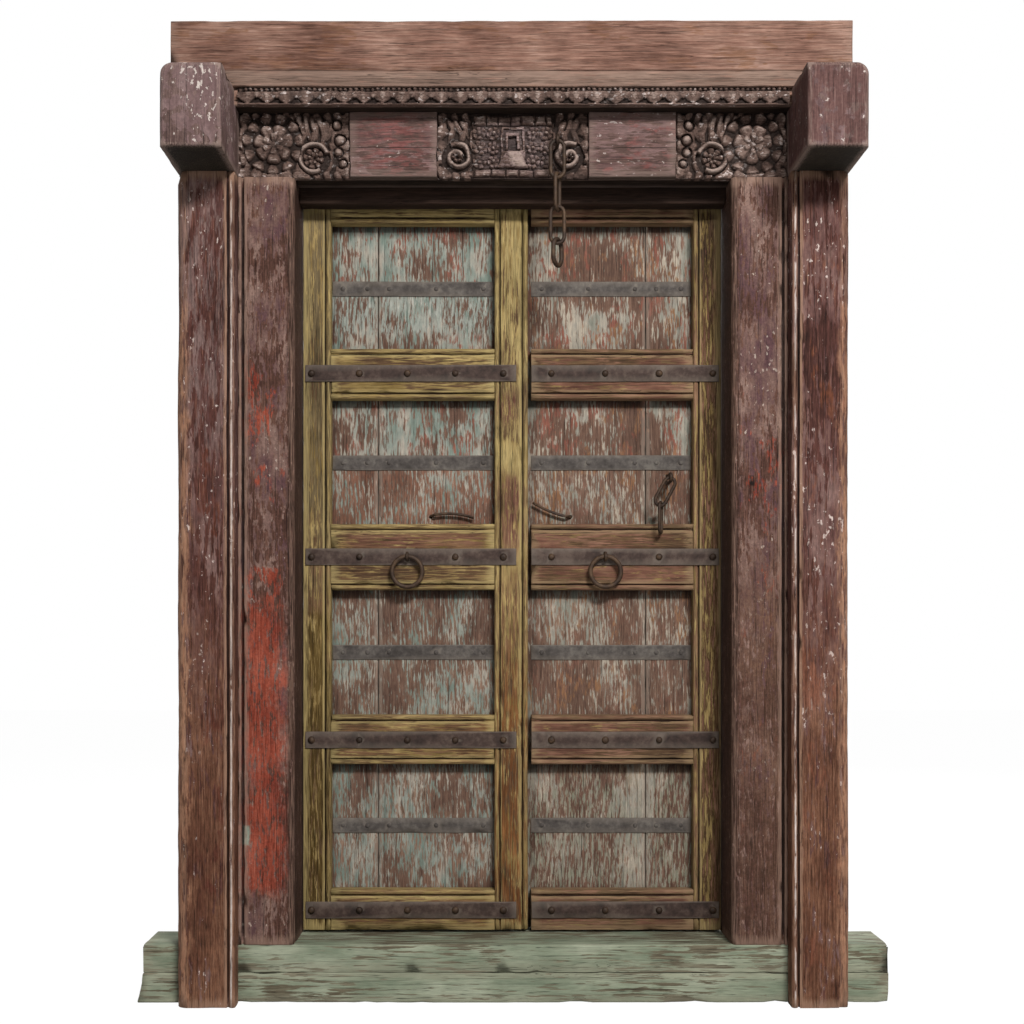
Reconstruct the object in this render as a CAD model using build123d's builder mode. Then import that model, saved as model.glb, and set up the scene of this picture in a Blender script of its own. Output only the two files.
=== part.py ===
from build123d import *

import os
from math import cos, radians, sin

# An old carved plank door of two leaves in its post and lintel frame, in millimetres.
# +X is right as seen from the street, +Y goes into the house and +Z is up.
# The origin is on the ground under the middle of the whole piece.

# Doorway and frame timbers
opening_width = 1006.0
opening_height = 1766.0
jamb_width = 129.0
jamb_depth = 160.0
jamb_arris = 12.0
jamb_quirk = 7.0
post_width = 133.0
post_depth = 156.0
post_proud = 46.0
post_bead = 7.0
post_quirk = 4.0
post_round = 26.0

# Sill of two boards, with ends that run past the posts
sill_base_height = 71.0
sill_board_height = 63.0
sill_horn = 100.0
sill_horn_depth = 150.0
sill_flare = 14.0
sill_arris = 5.0
sill_wear = 3.0

# Lintel, its carved blocks and the head rail behind it
lintel_height = 150.0
lintel_depth = 80.0
carving_depth = 16.0
carving_proud = 3.0
side_carving_width = 256.0
middle_carving_width = 350.0
rosette_radius = 56.0
rosette_inset = 78.0
rosette_lift = 8.0
flower_radius = 36.0
flower_inset = 179.0
flower_drop = 8.0
scroll_radius = 40.0
scroll_band = 11.0
scroll_sides = 14
niche_width = 150.0
niche_bar = 13.0
lotus_radius = 52.0
leaf_lobe = 30.0
petal_top_share = 0.5
head_rail_height = 90.0
head_rail_drop = 20.0
head_lip_drop = 38.0
head_lip = 48.0

# Cornice over the lintel
cornice_overhang = 50.0
cornice_end = 5.0
moulding_height = 76.0
moulding_band = 40.0
moulding_step = 11.0
bead_row = 7.0
scallop_pitch = 44.0
scallop_gap = 5.0
scallop_depth = 33.0
board_height = 116.0
board_setback = 5.0
board_left_run = 9.0
board_arris = 6.0

# Corbels on the posts
corbel_height = 183.0
corbel_reach = 165.0
corbel_arris = 9.0
corbel_wear = 26.0

# Leaves
leaf_setback = 135.0
grid_thickness = 34.0
plank_thickness = 34.0
ledge_thickness = 30.0
ledge_width = 74.0
ledge_end_gap = 46.0
ledge_chamfer = 8.0
side_gap = 3.0
sill_gap = 6.0
head_gap = 4.0
meeting_gap = 3.0
hanging_stile_width = 66.0
meeting_stile_width = 80.0
meeting_lap = 38.0
lap_play = 2.0
lap_gap = 8.0
top_rail_width = 44.0
second_rail_width = 120.0
lock_rail_width = 158.0
fourth_rail_width = 118.0
bottom_rail_width = 96.0
bead_radius = 6.0
bead_quirk = 3.0
pivot_plank_width = 177.0
plank_vee = 2.5

# Wooden pivots
pivot_radius = 15.0
pivot_depth = 29.0
pivot_play = 0.4
pivot_end_play = 3.0

# Iron straps and nails
strap_width = 40.0
strap_thickness = 4.0
strap_hinge_gap = 5.0
strap_lap_gap = 28.0
panel_strap_width = 36.0
panel_strap_thickness = 3.0
panel_strap_play = 1.0
dome_radius = 8.5
dome_height = 7.0
dome_shank = 5.0
dome_nail_cover = 6.0
nail_hinge_inset = 20.0
nail_lap_inset = 31.0
nail_end_inset = 48.0
stud_radius = 5.5
stud_height = 2.6
stud_shank = 3.5
stud_cover = 10.0
stud_inset = 26.0
nail_play = 0.2
left_nail_count = 5
right_nail_count = 4
pivot_stud_count = 2
wide_stud_count = 3

# Ring pulls
ring_radius = 36.0
ring_wire = 4.6
ring_eye_wire = 3.2
ring_eye_play = 0.5
ring_stand = 12.0
staple_play = 0.2
forged_sides = 8
bow_sides = 8
ring_sides = 24
stud_sides = 6

# Chain on the lintel
chain_x = 101.0
chain_lift = 76.0
chain_stand = 23.0
link_wire = 4.0
link_half_width = 15.5
link_straight = 53.0
end_link_wire = 4.8
end_link_half_width = 20.0
end_link_straight = 20.0
chain_play = 0.6
chain_staple_wire = 3.6
link_turns = (0, 70, -4, 60)

# Hasp on the right leaf and the spikes clinched on both leaves
hasp_inset = 57.0
hasp_drop = 23.0
hasp_stand = 54.0
hasp_wire = 3.6
hasp_play = 1.6
hasp_half_width = 13.0
hasp_straight = 46.0
hasp_tilt = 28.0
hasp_turn = 72.0
spike_wire = 4.0
spike_bend = 11.0
spike_bury = 24.0
left_spike_root_inset = 154.0
left_spike_tip_inset = 50.0
left_spike_lift = 20.0
left_spike_rise = -4.0
right_spike_root_inset = 95.0
right_spike_tip_inset = 4.0
right_spike_lift = 19.0
right_spike_rise = 34.0
spike_stand = 13.0

# Overrun of every cut past the face it leaves
overrun = 4.0

# Depths, from the street to the house
frame_depth = leaf_setback + grid_thickness + plank_thickness + ledge_thickness
jamb_face = (post_proud + corbel_reach - frame_depth) / 2
frame_back = jamb_face + frame_depth
post_face = jamb_face - post_proud
corbel_face = post_face - corbel_reach
cornice_face = jamb_face - cornice_overhang
lintel_back = jamb_face + lintel_depth
leaf_face = jamb_face + leaf_setback
plank_face = leaf_face + grid_thickness
plank_back = plank_face + plank_thickness
strap_face = leaf_face - strap_thickness
panel_strap_face = plank_face - panel_strap_thickness

# Heights
sill_top = sill_base_height + sill_board_height
lintel_bottom = sill_top + opening_height
lintel_top = lintel_bottom + lintel_height
moulding_top = lintel_top + moulding_height
corbel_top = lintel_bottom + corbel_height
chain_top = lintel_bottom + chain_lift
leaf_bottom = sill_top + sill_gap
head_under = lintel_bottom - head_rail_drop
leaf_top = head_under - head_gap
leaf_height = leaf_top - leaf_bottom
rail_widths = (bottom_rail_width, fourth_rail_width, lock_rail_width, second_rail_width, top_rail_width)
panel_height = (leaf_height - sum(rail_widths)) / (len(rail_widths) - 1)
rail_bottoms = [leaf_bottom + sum(rail_widths[:i]) + i * panel_height for i in range(len(rail_widths))]
rail_middles = [low + width / 2 for low, width in zip(rail_bottoms, rail_widths)]
panel_middles = [rail_bottoms[i + 1] - panel_height / 2 for i in range(len(rail_widths) - 1)]

# Widths
opening_half = opening_width / 2
post_inner = opening_half + jamb_width
post_outer = post_inner + post_width
sill_half = post_outer + sill_horn
cornice_half = post_outer + cornice_end
leaf_half = opening_half - side_gap
plank_joint = leaf_half - pivot_plank_width
pivot_x = leaf_half - plank_thickness / 2
pivot_y = plank_face + plank_thickness / 2
stile_inner = leaf_half - hanging_stile_width
lap_edge = meeting_lap
meeting_edge = meeting_lap - meeting_stile_width
right_rail_end = lap_edge + lap_gap

# Places of nails along the rails and studs along the panels
left_strap_ends = (-leaf_half + strap_hinge_gap, lap_edge - strap_lap_gap)
right_strap_ends = (right_rail_end, leaf_half - strap_hinge_gap)


def spaced(first, last, count):
    return [first + i * (last - first) / (count - 1) for i in range(count)]


left_nail_xs = spaced(-leaf_half + nail_hinge_inset, left_strap_ends[1] - nail_lap_inset, left_nail_count)
right_nail_xs = spaced(right_strap_ends[0] + nail_end_inset, leaf_half - nail_hinge_inset, right_nail_count)
left_ring_x = left_nail_xs[2]
right_ring_x = right_nail_xs[1]
ring_z = rail_middles[2]
left_panel = (-stile_inner + panel_strap_play, meeting_edge - panel_strap_play)
right_panel = (right_rail_end, stile_inner - panel_strap_play)
pivot_stud_xs = spaced(plank_joint + stud_inset, stile_inner - stud_inset, pivot_stud_count)
left_wide_xs = spaced(left_panel[1] - stud_inset, -plank_joint + stud_inset, wide_stud_count)
right_wide_xs = spaced(right_panel[0] + stud_inset, plank_joint - stud_inset, wide_stud_count)
strapped_rails = (0, 1, 2, 3)
ring_eye_half = ring_wire + ring_eye_play + ring_eye_wire
ring_y = strap_face - ring_stand

low, mid, high = Align.MIN, Align.CENTER, Align.MAX
os.makedirs("parts", exist_ok=True)


def save(piece, name):
    piece.part.label = name
    export_step(piece.part, f"parts/{name}.step")


# Sill base, its left end flared at the ground
with BuildPart() as sill_base:
    with BuildSketch(Plane.XZ.offset(-frame_back)):
        with BuildLine():
            Polyline(
                (-sill_half, 0),
                (sill_half, 0),
                (sill_half, sill_base_height),
                (-sill_half + sill_flare, sill_base_height),
            )
            flare_mid = (-sill_half + sill_flare * 2 / 3, sill_base_height / 2)
            ThreePointArc((-sill_half + sill_flare, sill_base_height), flare_mid, (-sill_half, 0))
        make_face()
    extrude(amount=frame_depth)
    for side in (-1, 1):
        with Locations((side * post_outer, frame_back + overrun, -overrun)):
            Box(
                sill_horn + overrun,
                frame_depth - sill_horn_depth + overrun,
                sill_base_height + 2 * overrun,
                align=(low if side > 0 else high, high, low),
                mode=Mode.SUBTRACT,
            )
save(sill_base, "sill_base")

# Sill board with a socket for each leaf's lower pivot
with BuildPart() as sill_board:
    with BuildSketch(Plane.XY.offset(sill_base_height)):
        with BuildLine():
            Polyline(
                (-sill_half + sill_flare, jamb_face),
                (sill_half - sill_wear, jamb_face),
                (sill_half - sill_wear, jamb_face + sill_horn_depth),
                (post_outer, jamb_face + sill_horn_depth),
                (post_outer, frame_back),
                (-post_outer, frame_back),
                (-post_outer, jamb_face + sill_horn_depth),
                (-sill_half + sill_flare, jamb_face + sill_horn_depth),
                close=True,
            )
        make_face()
    extrude(amount=sill_board_height)
    front_top = sill_board.edges().filter_by(Axis.X).group_by(Axis.Z)[-1].sort_by(Axis.Y)[0]
    fillet(front_top, sill_arris)
    with Locations((-pivot_x, pivot_y, sill_top), (pivot_x, pivot_y, sill_top)):
        Hole(pivot_radius + pivot_play, pivot_depth)
save(sill_board, "sill_board")

# Posts: a quirked bead on the inner edge, a rounded outer arris, lapped over the front of the sill
with BuildPart() as right_post:
    with BuildSketch():
        with Locations((post_inner, post_face)):
            Rectangle(post_width, post_depth, align=(low, low))
            Rectangle(2 * post_bead + post_quirk, post_bead, align=(low, low), mode=Mode.SUBTRACT)
        with Locations((post_inner + post_bead, post_face + post_bead)):
            Circle(post_bead)
    extrude(amount=lintel_bottom)
    outer_arris = right_post.edges().filter_by(Axis.Z).group_by(Axis.X)[-1].sort_by(Axis.Y)[0]
    fillet(outer_arris, post_round)
    with Locations((post_inner - overrun, jamb_face, -overrun)):
        Box(
            post_width + 2 * overrun,
            post_depth,
            sill_top + overrun,
            align=(low, low, low),
            mode=Mode.SUBTRACT,
        )
save(right_post, "right_post")

with BuildPart() as left_post:
    mirror(right_post.part, about=Plane.YZ)
save(left_post, "left_post")

# Jambs: a rounded arris at the opening and a quirk beside the post
with BuildPart() as right_jamb:
    with BuildSketch(Plane.XY.offset(sill_top)):
        with Locations((opening_half, jamb_face)):
            Rectangle(jamb_width, jamb_depth, align=(low, low))
        with Locations((post_inner - jamb_quirk, jamb_face)):
            Rectangle(jamb_quirk, jamb_quirk, align=(high, low), mode=Mode.SUBTRACT)
    extrude(amount=opening_height)
    inner_arris = right_jamb.edges().filter_by(Axis.Z).group_by(Axis.X)[0].sort_by(Axis.Y)[0]
    fillet(inner_arris, jamb_arris)
save(right_jamb, "right_jamb")

with BuildPart() as left_jamb:
    mirror(right_jamb.part, about=Plane.YZ)
save(left_jamb, "left_jamb")


petal_shares = ((-0.5, 0), (-0.1, 0.46), (0.36, 0.4), (0.5, 0), (0.36, -0.4), (-0.1, -0.46))


def petal(length, breadth, rise):
    """One chip-carved petal or leaf lobe, broad at its outer end, that narrows as it rises."""
    with BuildPart() as lobe:
        for height, top_share in ((0, 1), (rise, petal_top_share)):
            with BuildSketch(Plane.XY.offset(height)):
                with BuildLine():
                    outline = [(length * u * top_share, breadth * v * top_share) for u, v in petal_shares]
                    Polyline(*outline, close=True)
                make_face()
        loft(ruled=True)
    return lobe.part


# Lintel: two plain fields between three blocks of sunk carving
lintel_middle = lintel_bottom + lintel_height / 2
carved_ground = Plane.XZ.offset(-(jamb_face + carving_depth))
full_relief = carving_depth + carving_proud
staple_low = chain_top - link_wire - chain_play - chain_staple_wire
chain_staple_half = link_wire + chain_staple_wire + 3 * chain_play
staple_middle = staple_low + chain_staple_half
rosette_x = post_inner - rosette_inset
flower_x = post_inner - flower_inset
scroll_x = (middle_carving_width + niche_width) / 4
lobe_reach = flower_radius + leaf_lobe / 2
lotus_foot = lintel_bottom + 2 * niche_bar

# Rings of petals: reach, count, length, breadth and rise, as shares of the flower's radius and of the relief
rosette_shares = ((0.80, 10, 0.40, 0.42, 0.60), (0.44, 6, 0.40, 0.38, 0.84), (0, 1, 0.46, 0.46, 1))
flower_shares = ((0.66, 6, 0.64, 0.58, 0.70), (0, 1, 0.52, 0.52, 1))
with BuildPart() as lintel_beam:
    with BuildSketch(Plane.XZ.offset(-lintel_back)):
        with Locations((0, lintel_bottom)):
            Rectangle(2 * post_outer, lintel_height, align=(mid, low))
    extrude(amount=lintel_depth)
    with BuildSketch(carved_ground):
        with Locations((0, lintel_middle)):
            Rectangle(middle_carving_width, lintel_height + 2 * overrun)
        for side in (-1, 1):
            with Locations((side * post_inner, lintel_middle)):
                block_align = (high if side > 0 else low, mid)
                Rectangle(side_carving_width, lintel_height + 2 * overrun, align=block_align)
    extrude(amount=carving_depth + overrun, mode=Mode.SUBTRACT)
    # A niche with a lotus between two scrolls in the middle block
    with BuildSketch(carved_ground):
        for height, edge_align in ((lintel_bottom, low), (lintel_top, high)):
            with Locations((0, height)):
                Rectangle(niche_width, niche_bar, align=(mid, edge_align))
        for side in (-1, 1):
            with Locations((side * (niche_width - niche_bar) / 2, lintel_middle)):
                Rectangle(niche_bar, lintel_height)
    extrude(amount=carving_depth)
    with BuildSketch(carved_ground):
        for side in (-1, 1):
            with Locations((side * scroll_x, lintel_middle)):
                RegularPolygon(scroll_radius, scroll_sides)
                RegularPolygon(scroll_radius - scroll_band, scroll_sides, mode=Mode.SUBTRACT)
    extrude(amount=full_relief * 2 / 3)
    with Locations(carved_ground):
        with Locations((0, lotus_foot)):
            with PolarLocations(lotus_radius, 7, 12, 156, endpoint=True):
                add(petal(lotus_radius * 2 / 3, lotus_radius * 2 / 5, full_relief * 2 / 3))
            add(petal(lotus_radius, lotus_radius, full_relief))
        for side in (-1, 1):
            with Locations((side * scroll_x, lintel_middle)):
                with PolarLocations(scroll_radius + scroll_band / 2, 8):
                    add(petal(leaf_lobe, leaf_lobe / 2, full_relief / 2))
                add(petal(scroll_radius, scroll_radius * 2 / 3, full_relief))
            # A rosette and a smaller leafed flower in each end block
            for place_x, place_z, radius, ring_shares in (
                (rosette_x, lintel_middle + rosette_lift, rosette_radius, rosette_shares),
                (flower_x, lintel_middle - flower_drop, flower_radius, flower_shares),
            ):
                with Locations((side * place_x, place_z)):
                    for reach_share, count, length_share, breadth_share, rise_share in ring_shares:
                        lobe = petal(radius * length_share, radius * breadth_share, full_relief * rise_share)
                        with PolarLocations(radius * reach_share, count):
                            add(lobe)
            with Locations((side * flower_x, lintel_middle - flower_drop)):
                with PolarLocations(lobe_reach, 7, -80 if side < 0 else 100, 160, endpoint=True):
                    add(petal(leaf_lobe, leaf_lobe * 2 / 3, full_relief * 2 / 3))
    # Everything carved stays within the height of the beam, and the chain's staple is driven into it
    for height, edge_align in ((lintel_bottom, high), (lintel_top, low)):
        with Locations((0, jamb_face, height)):
            Box(
                2 * post_outer,
                2 * lintel_depth,
                lintel_height,
                align=(mid, mid, edge_align),
                mode=Mode.SUBTRACT,
            )
    for step in (-chain_staple_half, chain_staple_half):
        with Locations((chain_x, jamb_face + lintel_depth / 2, staple_middle + step)):
            Cylinder(
                chain_staple_wire + staple_play,
                lintel_depth,
                rotation=(90, 0, 0),
                align=(mid, mid, low),
                mode=Mode.SUBTRACT,
            )
save(lintel_beam, "lintel_beam")

# Head rail behind the lintel: a lip stops the leaves and the part behind it holds their upper pivots
with BuildPart() as head_rail:
    with BuildSketch(Plane.YZ.offset(-post_inner)):
        with Locations((lintel_back, lintel_bottom)):
            Rectangle(frame_back - lintel_back, head_rail_height, align=(low, low))
    extrude(amount=2 * post_inner)
    with BuildSketch(Plane.YZ.offset(-opening_half)):
        with Locations((lintel_back, lintel_bottom)):
            Rectangle(frame_back - lintel_back, head_rail_drop, align=(low, high))
            Rectangle(head_lip, head_lip_drop, align=(low, high))
    extrude(amount=opening_width)
    with Locations((-pivot_x, pivot_y, head_under), (pivot_x, pivot_y, head_under)):
        Cylinder(
            pivot_radius + pivot_play,
            pivot_depth + pivot_end_play,
            align=(mid, mid, low),
            mode=Mode.SUBTRACT,
        )
save(head_rail, "head_rail")


def scallop(half, drop):
    """One hanging tongue of the carved band, blunt at its point."""
    with BuildSketch() as tongue:
        with BuildLine():
            Polyline((0, 0), (half, 0), (half, -drop / 3), (half / 2, -drop * 4 / 5), (0, -drop), (0, 0))
        make_face()
        mirror(about=Plane.YZ)
    return tongue.sketch


# Cornice moulding: a plain fascia over a row of scallops between the corbels
scallop_run = 2 * (post_inner - scallop_gap)
scallop_count = int(scallop_run // scallop_pitch)
band_face = cornice_face + moulding_step
with BuildPart() as cornice_moulding:
    with BuildSketch(Plane.YZ.offset(-cornice_half)):
        with Locations((lintel_back, lintel_top)):
            Rectangle(lintel_back - band_face, moulding_height, align=(high, low))
        with Locations((lintel_back, moulding_top)):
            Rectangle(lintel_back - cornice_face, moulding_height - moulding_band, align=(high, high))
        with Locations((band_face, moulding_top - moulding_height + moulding_band - bead_row / 2)):
            Circle(bead_row)
    extrude(amount=2 * cornice_half)
    with BuildSketch(Plane.XZ.offset(-band_face)):
        with Locations((0, lintel_top + scallop_depth)):
            with GridLocations(scallop_pitch, 0, scallop_count, 1):
                add(scallop((scallop_pitch - scallop_gap) / 2, scallop_depth))
    extrude(amount=moulding_step)
save(cornice_moulding, "cornice_moulding")

# Cornice board, a plain plank on edge
with BuildPart() as cornice_board:
    with BuildSketch(Plane.YZ.offset(-cornice_half - board_left_run)):
        with Locations((lintel_back, moulding_top)):
            Rectangle(lintel_back - cornice_face - board_setback, board_height, align=(high, low))
    extrude(amount=2 * cornice_half + board_left_run)
    fillet(cornice_board.edges().filter_by(Axis.X).group_by(Axis.Y)[0], board_arris)
save(cornice_board, "cornice_board")

# Corbels: beam heads that stand on the posts and carry the ends of the cornice
with BuildPart() as right_corbel:
    with BuildSketch(Plane.YZ.offset(post_inner)):
        with BuildLine():
            Polyline(
                (corbel_face, lintel_bottom),
                (jamb_face, lintel_bottom),
                (jamb_face, lintel_top),
                (cornice_face, lintel_top),
                (cornice_face, corbel_top),
                (corbel_face, corbel_top),
                close=True,
            )
        make_face()
    extrude(amount=post_width)
    top_outer = right_corbel.edges().filter_by(Axis.Y).group_by(Axis.Z)[-1].sort_by(Axis.X)[-1]
    fillet(top_outer, corbel_wear)
    fillet(right_corbel.faces().sort_by(Axis.Y)[0].edges(), corbel_arris)
save(right_corbel, "right_corbel")

with BuildPart() as left_corbel:
    mirror(right_corbel.part, about=Plane.YZ)
save(left_corbel, "left_corbel")


def bow(half):
    """A half round of a bar's middle line, hammered in short straight pieces: x across and y outwards."""
    bends = [radians(180 * i / bow_sides) for i in range(bow_sides + 1)]
    return [(-half * cos(bend), half * sin(bend)) for bend in bends]


def staple(name, x, middle, half, arc_y, bury_y, wire):
    """A hairpin of round bar with both legs driven straight in."""
    with BuildPart() as pin:
        with BuildLine(Plane.YZ.offset(x)) as path:
            bend = [(arc_y - out, middle - across) for across, out in bow(half)]
            Polyline((bury_y, middle + half), *bend, (bury_y, middle - half))
        with BuildSketch(Plane(origin=path.line @ 0, z_dir=path.line % 0)):
            RegularPolygon(wire, forged_sides)
        sweep(transition=Transition.RIGHT)
    save(pin, name)


def link(name, center, half_width, straight, wire, turn=0, tilt=0):
    """An oval link of round bar, turned about its length and tilted in the plane of the door."""
    turn, tilt = radians(turn), radians(tilt)
    across = Vector(cos(turn) * cos(tilt), sin(turn), -cos(turn) * sin(tilt))
    up = Vector(sin(tilt), 0, cos(tilt))
    with BuildPart() as oval:
        with BuildLine(Plane(origin=center, x_dir=across, z_dir=across.cross(up))) as path:
            bend = [(x, straight / 2 + out) for x, out in bow(half_width)]
            Polyline((-half_width, 0), *bend, (half_width, 0))
        with BuildSketch(Plane(origin=path.line @ 0, z_dir=path.line % 0)):
            RegularPolygon(wire, forged_sides)
        sweep(transition=Transition.RIGHT)
        mirror(about=Plane(origin=center, x_dir=across, z_dir=up))
    save(oval, name)


# Chain hung from the lintel: links that pass through each other, quarter turned in alternation
chain_y = jamb_face - chain_stand
staple_end = lintel_back - lintel_depth / 2
staple("chain_staple", chain_x, staple_middle, chain_staple_half, chain_y, staple_end, chain_staple_wire)
link_length = link_straight + 2 * link_half_width
link_drop = link_length - 2 * link_wire - chain_play
end_link_length = end_link_straight + 2 * end_link_half_width
link_middles = [chain_top - link_length / 2 - i * link_drop for i in range(3)]
end_link_top = link_middles[-1] - link_length / 2 + link_wire + chain_play + end_link_wire
end_link_middle = end_link_top - end_link_length / 2
for number, (height, turn) in enumerate(zip(link_middles, link_turns), 1):
    link(f"chain_link_{number}", (chain_x, chain_y, height), link_half_width, link_straight, link_wire, turn)
link(
    "chain_end_link",
    (chain_x, chain_y, end_link_middle),
    end_link_half_width,
    end_link_straight,
    end_link_wire,
    link_turns[-1],
)


def moulded_section(width, low_bead, high_bead):
    """A stile or rail in section: x across it, y from back to face, with beads on the chosen edges."""
    with BuildSketch() as section:
        Rectangle(width, grid_thickness, align=(low, low))
        for chosen, edge, inward in ((low_bead, 0, 1), (high_bead, width, -1)):
            if chosen:
                with Locations((edge, grid_thickness)):
                    Rectangle(
                        2 * bead_radius + bead_quirk,
                        bead_radius,
                        align=(low if inward > 0 else high, high),
                        mode=Mode.SUBTRACT,
                    )
                with Locations((edge + inward * bead_radius, grid_thickness - bead_radius)):
                    Circle(bead_radius)
    return section.sketch


def rail_nail_places(nail_xs, ring_x):
    places = [(x, rail_middles[rail]) for rail in strapped_rails for x in nail_xs]
    return [place for place in places if place != (ring_x, ring_z)]


left_nails = rail_nail_places(left_nail_xs, left_ring_x)
right_nails = rail_nail_places(right_nail_xs, right_ring_x)
dome_bury = grid_thickness - dome_nail_cover
stud_bury = plank_thickness - stud_cover


def stile(name, left_edge, width, bottom, top, beads, nails, lap=0):
    with BuildPart() as upright:
        with BuildSketch(Plane(origin=(left_edge, plank_face, top), x_dir=(1, 0, 0), z_dir=(0, 0, -1))):
            add(moulded_section(width, *beads))
        extrude(amount=top - bottom)
        with Locations(*[(x, leaf_face - overrun, z) for x, z in nails if left_edge < x < left_edge + width]):
            hole = dome_shank + 2 * nail_play
            Box(hole, overrun + dome_bury + nail_play, hole, align=(mid, low, mid), mode=Mode.SUBTRACT)
        if lap:
            with Locations((left_edge + width + overrun, plank_face + overrun, bottom - overrun)):
                Box(
                    lap + overrun,
                    lap_play + overrun,
                    top - bottom + 2 * overrun,
                    align=(high, high, low),
                    mode=Mode.SUBTRACT,
                )
    save(upright, name)


def rail(name, left_end, right_end, number, nails, eye=None):
    bottom = rail_bottoms[number]
    width = rail_widths[number]
    beads = (number > 0, number < len(rail_widths) - 1)
    with BuildPart() as bar:
        with BuildSketch(Plane(origin=(left_end, plank_face, bottom), x_dir=(0, 0, 1), z_dir=(1, 0, 0))):
            add(moulded_section(width, *beads))
        extrude(amount=right_end - left_end)
        inside = [(x, z) for x, z in nails if left_end < x < right_end and bottom < z < bottom + width]
        if inside:
            with Locations(*[(x, leaf_face - overrun, z) for x, z in inside]):
                hole = dome_shank + 2 * nail_play
                Box(hole, overrun + dome_bury + nail_play, hole, align=(mid, low, mid), mode=Mode.SUBTRACT)
        if eye is not None:
            with Locations(*[(eye, plank_face, ring_z + step) for step in (-ring_eye_half, ring_eye_half)]):
                Cylinder(
                    ring_eye_wire + staple_play,
                    grid_thickness + overrun,
                    rotation=(90, 0, 0),
                    align=(mid, mid, low),
                    mode=Mode.SUBTRACT,
                )
    save(bar, name)


def pivot_plank(name, side, studs, eyes=()):
    """The plank at the hinge: its edge is half round about the pivot, with a wooden peg at each end."""
    joint = side * plank_joint
    with BuildPart() as plank:
        with BuildSketch(Plane.XY.offset(leaf_bottom)):
            with BuildLine():
                Polyline(
                    (side * pivot_x, plank_face),
                    (joint + side * plank_vee, plank_face),
                    (joint, plank_face + plank_vee),
                    (joint, plank_back),
                    (side * pivot_x, plank_back),
                )
                ThreePointArc(
                    (side * pivot_x, plank_back), (side * leaf_half, pivot_y), (side * pivot_x, plank_face)
                )
            make_face()
        extrude(amount=leaf_height)
        with Locations((side * pivot_x, pivot_y, leaf_bottom)):
            Cylinder(pivot_radius, pivot_depth + sill_gap, align=(mid, mid, high))
        with Locations((side * pivot_x, pivot_y, leaf_top)):
            Cylinder(pivot_radius, pivot_depth + head_gap, align=(mid, mid, low))
        with Locations(*[(x, plank_face - overrun, z) for x, z in studs if abs(x) > plank_joint]):
            hole = stud_shank + 2 * nail_play
            Box(hole, overrun + stud_bury + nail_play, hole, align=(mid, low, mid), mode=Mode.SUBTRACT)
        if eyes:
            with Locations(*[(x, plank_back, z) for x, z in eyes]):
                Cylinder(
                    hasp_wire + staple_play,
                    plank_thickness + overrun,
                    rotation=(90, 0, 0),
                    align=(mid, mid, low),
                    mode=Mode.SUBTRACT,
                )
    save(plank, name)


def wide_plank(name, side, studs, spike):
    joint = side * plank_joint
    edge = side * meeting_gap / 2
    with BuildPart() as plank:
        with BuildSketch(Plane.XY.offset(leaf_bottom)):
            with BuildLine():
                Polyline(
                    (edge, plank_face),
                    (joint - side * plank_vee, plank_face),
                    (joint, plank_face + plank_vee),
                    (joint, plank_back),
                    (edge, plank_back),
                    close=True,
                )
            make_face()
        extrude(amount=leaf_height)
        with Locations(*[(x, plank_face - overrun, z) for x, z in studs if abs(x) < plank_joint]):
            hole = stud_shank + 2 * nail_play
            Box(hole, overrun + stud_bury + nail_play, hole, align=(mid, low, mid), mode=Mode.SUBTRACT)
        with Locations((spike[0], plank_face + spike_bury + staple_play, spike[1])):
            Cylinder(
                spike_wire + staple_play,
                spike_bury + overrun,
                rotation=(90, 0, 0),
                align=(mid, mid, low),
                mode=Mode.SUBTRACT,
            )
    save(plank, name)


def rail_strap(name, ends, height, nails, eye=None):
    """An iron strap along the middle of a rail, pierced for its nails."""
    with BuildPart() as strap:
        with BuildSketch(Plane.XZ.offset(-leaf_face)):
            with Locations((ends[0], height)):
                Rectangle(ends[1] - ends[0], strap_width, align=(low, mid))
            with Locations(*[place for place in nails if place[1] == height]):
                Rectangle(dome_shank + 2 * nail_play, dome_shank + 2 * nail_play, mode=Mode.SUBTRACT)
            if eye is not None:
                with Locations((eye, ring_z - ring_eye_half), (eye, ring_z + ring_eye_half)):
                    Circle(ring_eye_wire + staple_play, mode=Mode.SUBTRACT)
        extrude(amount=strap_thickness)
    save(strap, name)


def panel_straps(name, ends, studs):
    with BuildPart() as straps:
        with BuildSketch(Plane.XZ.offset(-plank_face)):
            with Locations(*[(ends[0], height) for height in panel_middles]):
                Rectangle(ends[1] - ends[0], panel_strap_width, align=(low, mid))
            with Locations(*studs):
                Rectangle(stud_shank + 2 * nail_play, stud_shank + 2 * nail_play, mode=Mode.SUBTRACT)
        extrude(amount=panel_strap_thickness)
    save(straps, name)


dome_shares = ((0, 1), (0.6, 0.78), (1, 0.36))
stud_shares = ((0, 1), (1, 0.6))


def nail(radius, height, shank, length, head_shares, sides):
    """A forged nail: a head hammered to a faceted dome in front of y = 0 and a square shank behind it."""
    with BuildPart() as one:
        for rise_share, spread_share in head_shares:
            with BuildSketch(Plane.XZ.offset(height * rise_share)):
                RegularPolygon(radius * spread_share, sides)
        loft(ruled=True)
        Box(shank, length, shank, align=(mid, low, mid))
    return one.part


dome_length = strap_thickness + dome_bury
stud_length = panel_strap_thickness + stud_bury
dome_nail = nail(dome_radius, dome_height, dome_shank, dome_length, dome_shares, forged_sides)
stud_nail = nail(stud_radius, stud_height, stud_shank, stud_length, stud_shares, stud_sides)


def nails(name, one, face_y, places):
    with BuildPart() as group:
        with Locations(*[(x, face_y, z) for x, z in places]):
            add(one)
    save(group, name)


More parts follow.
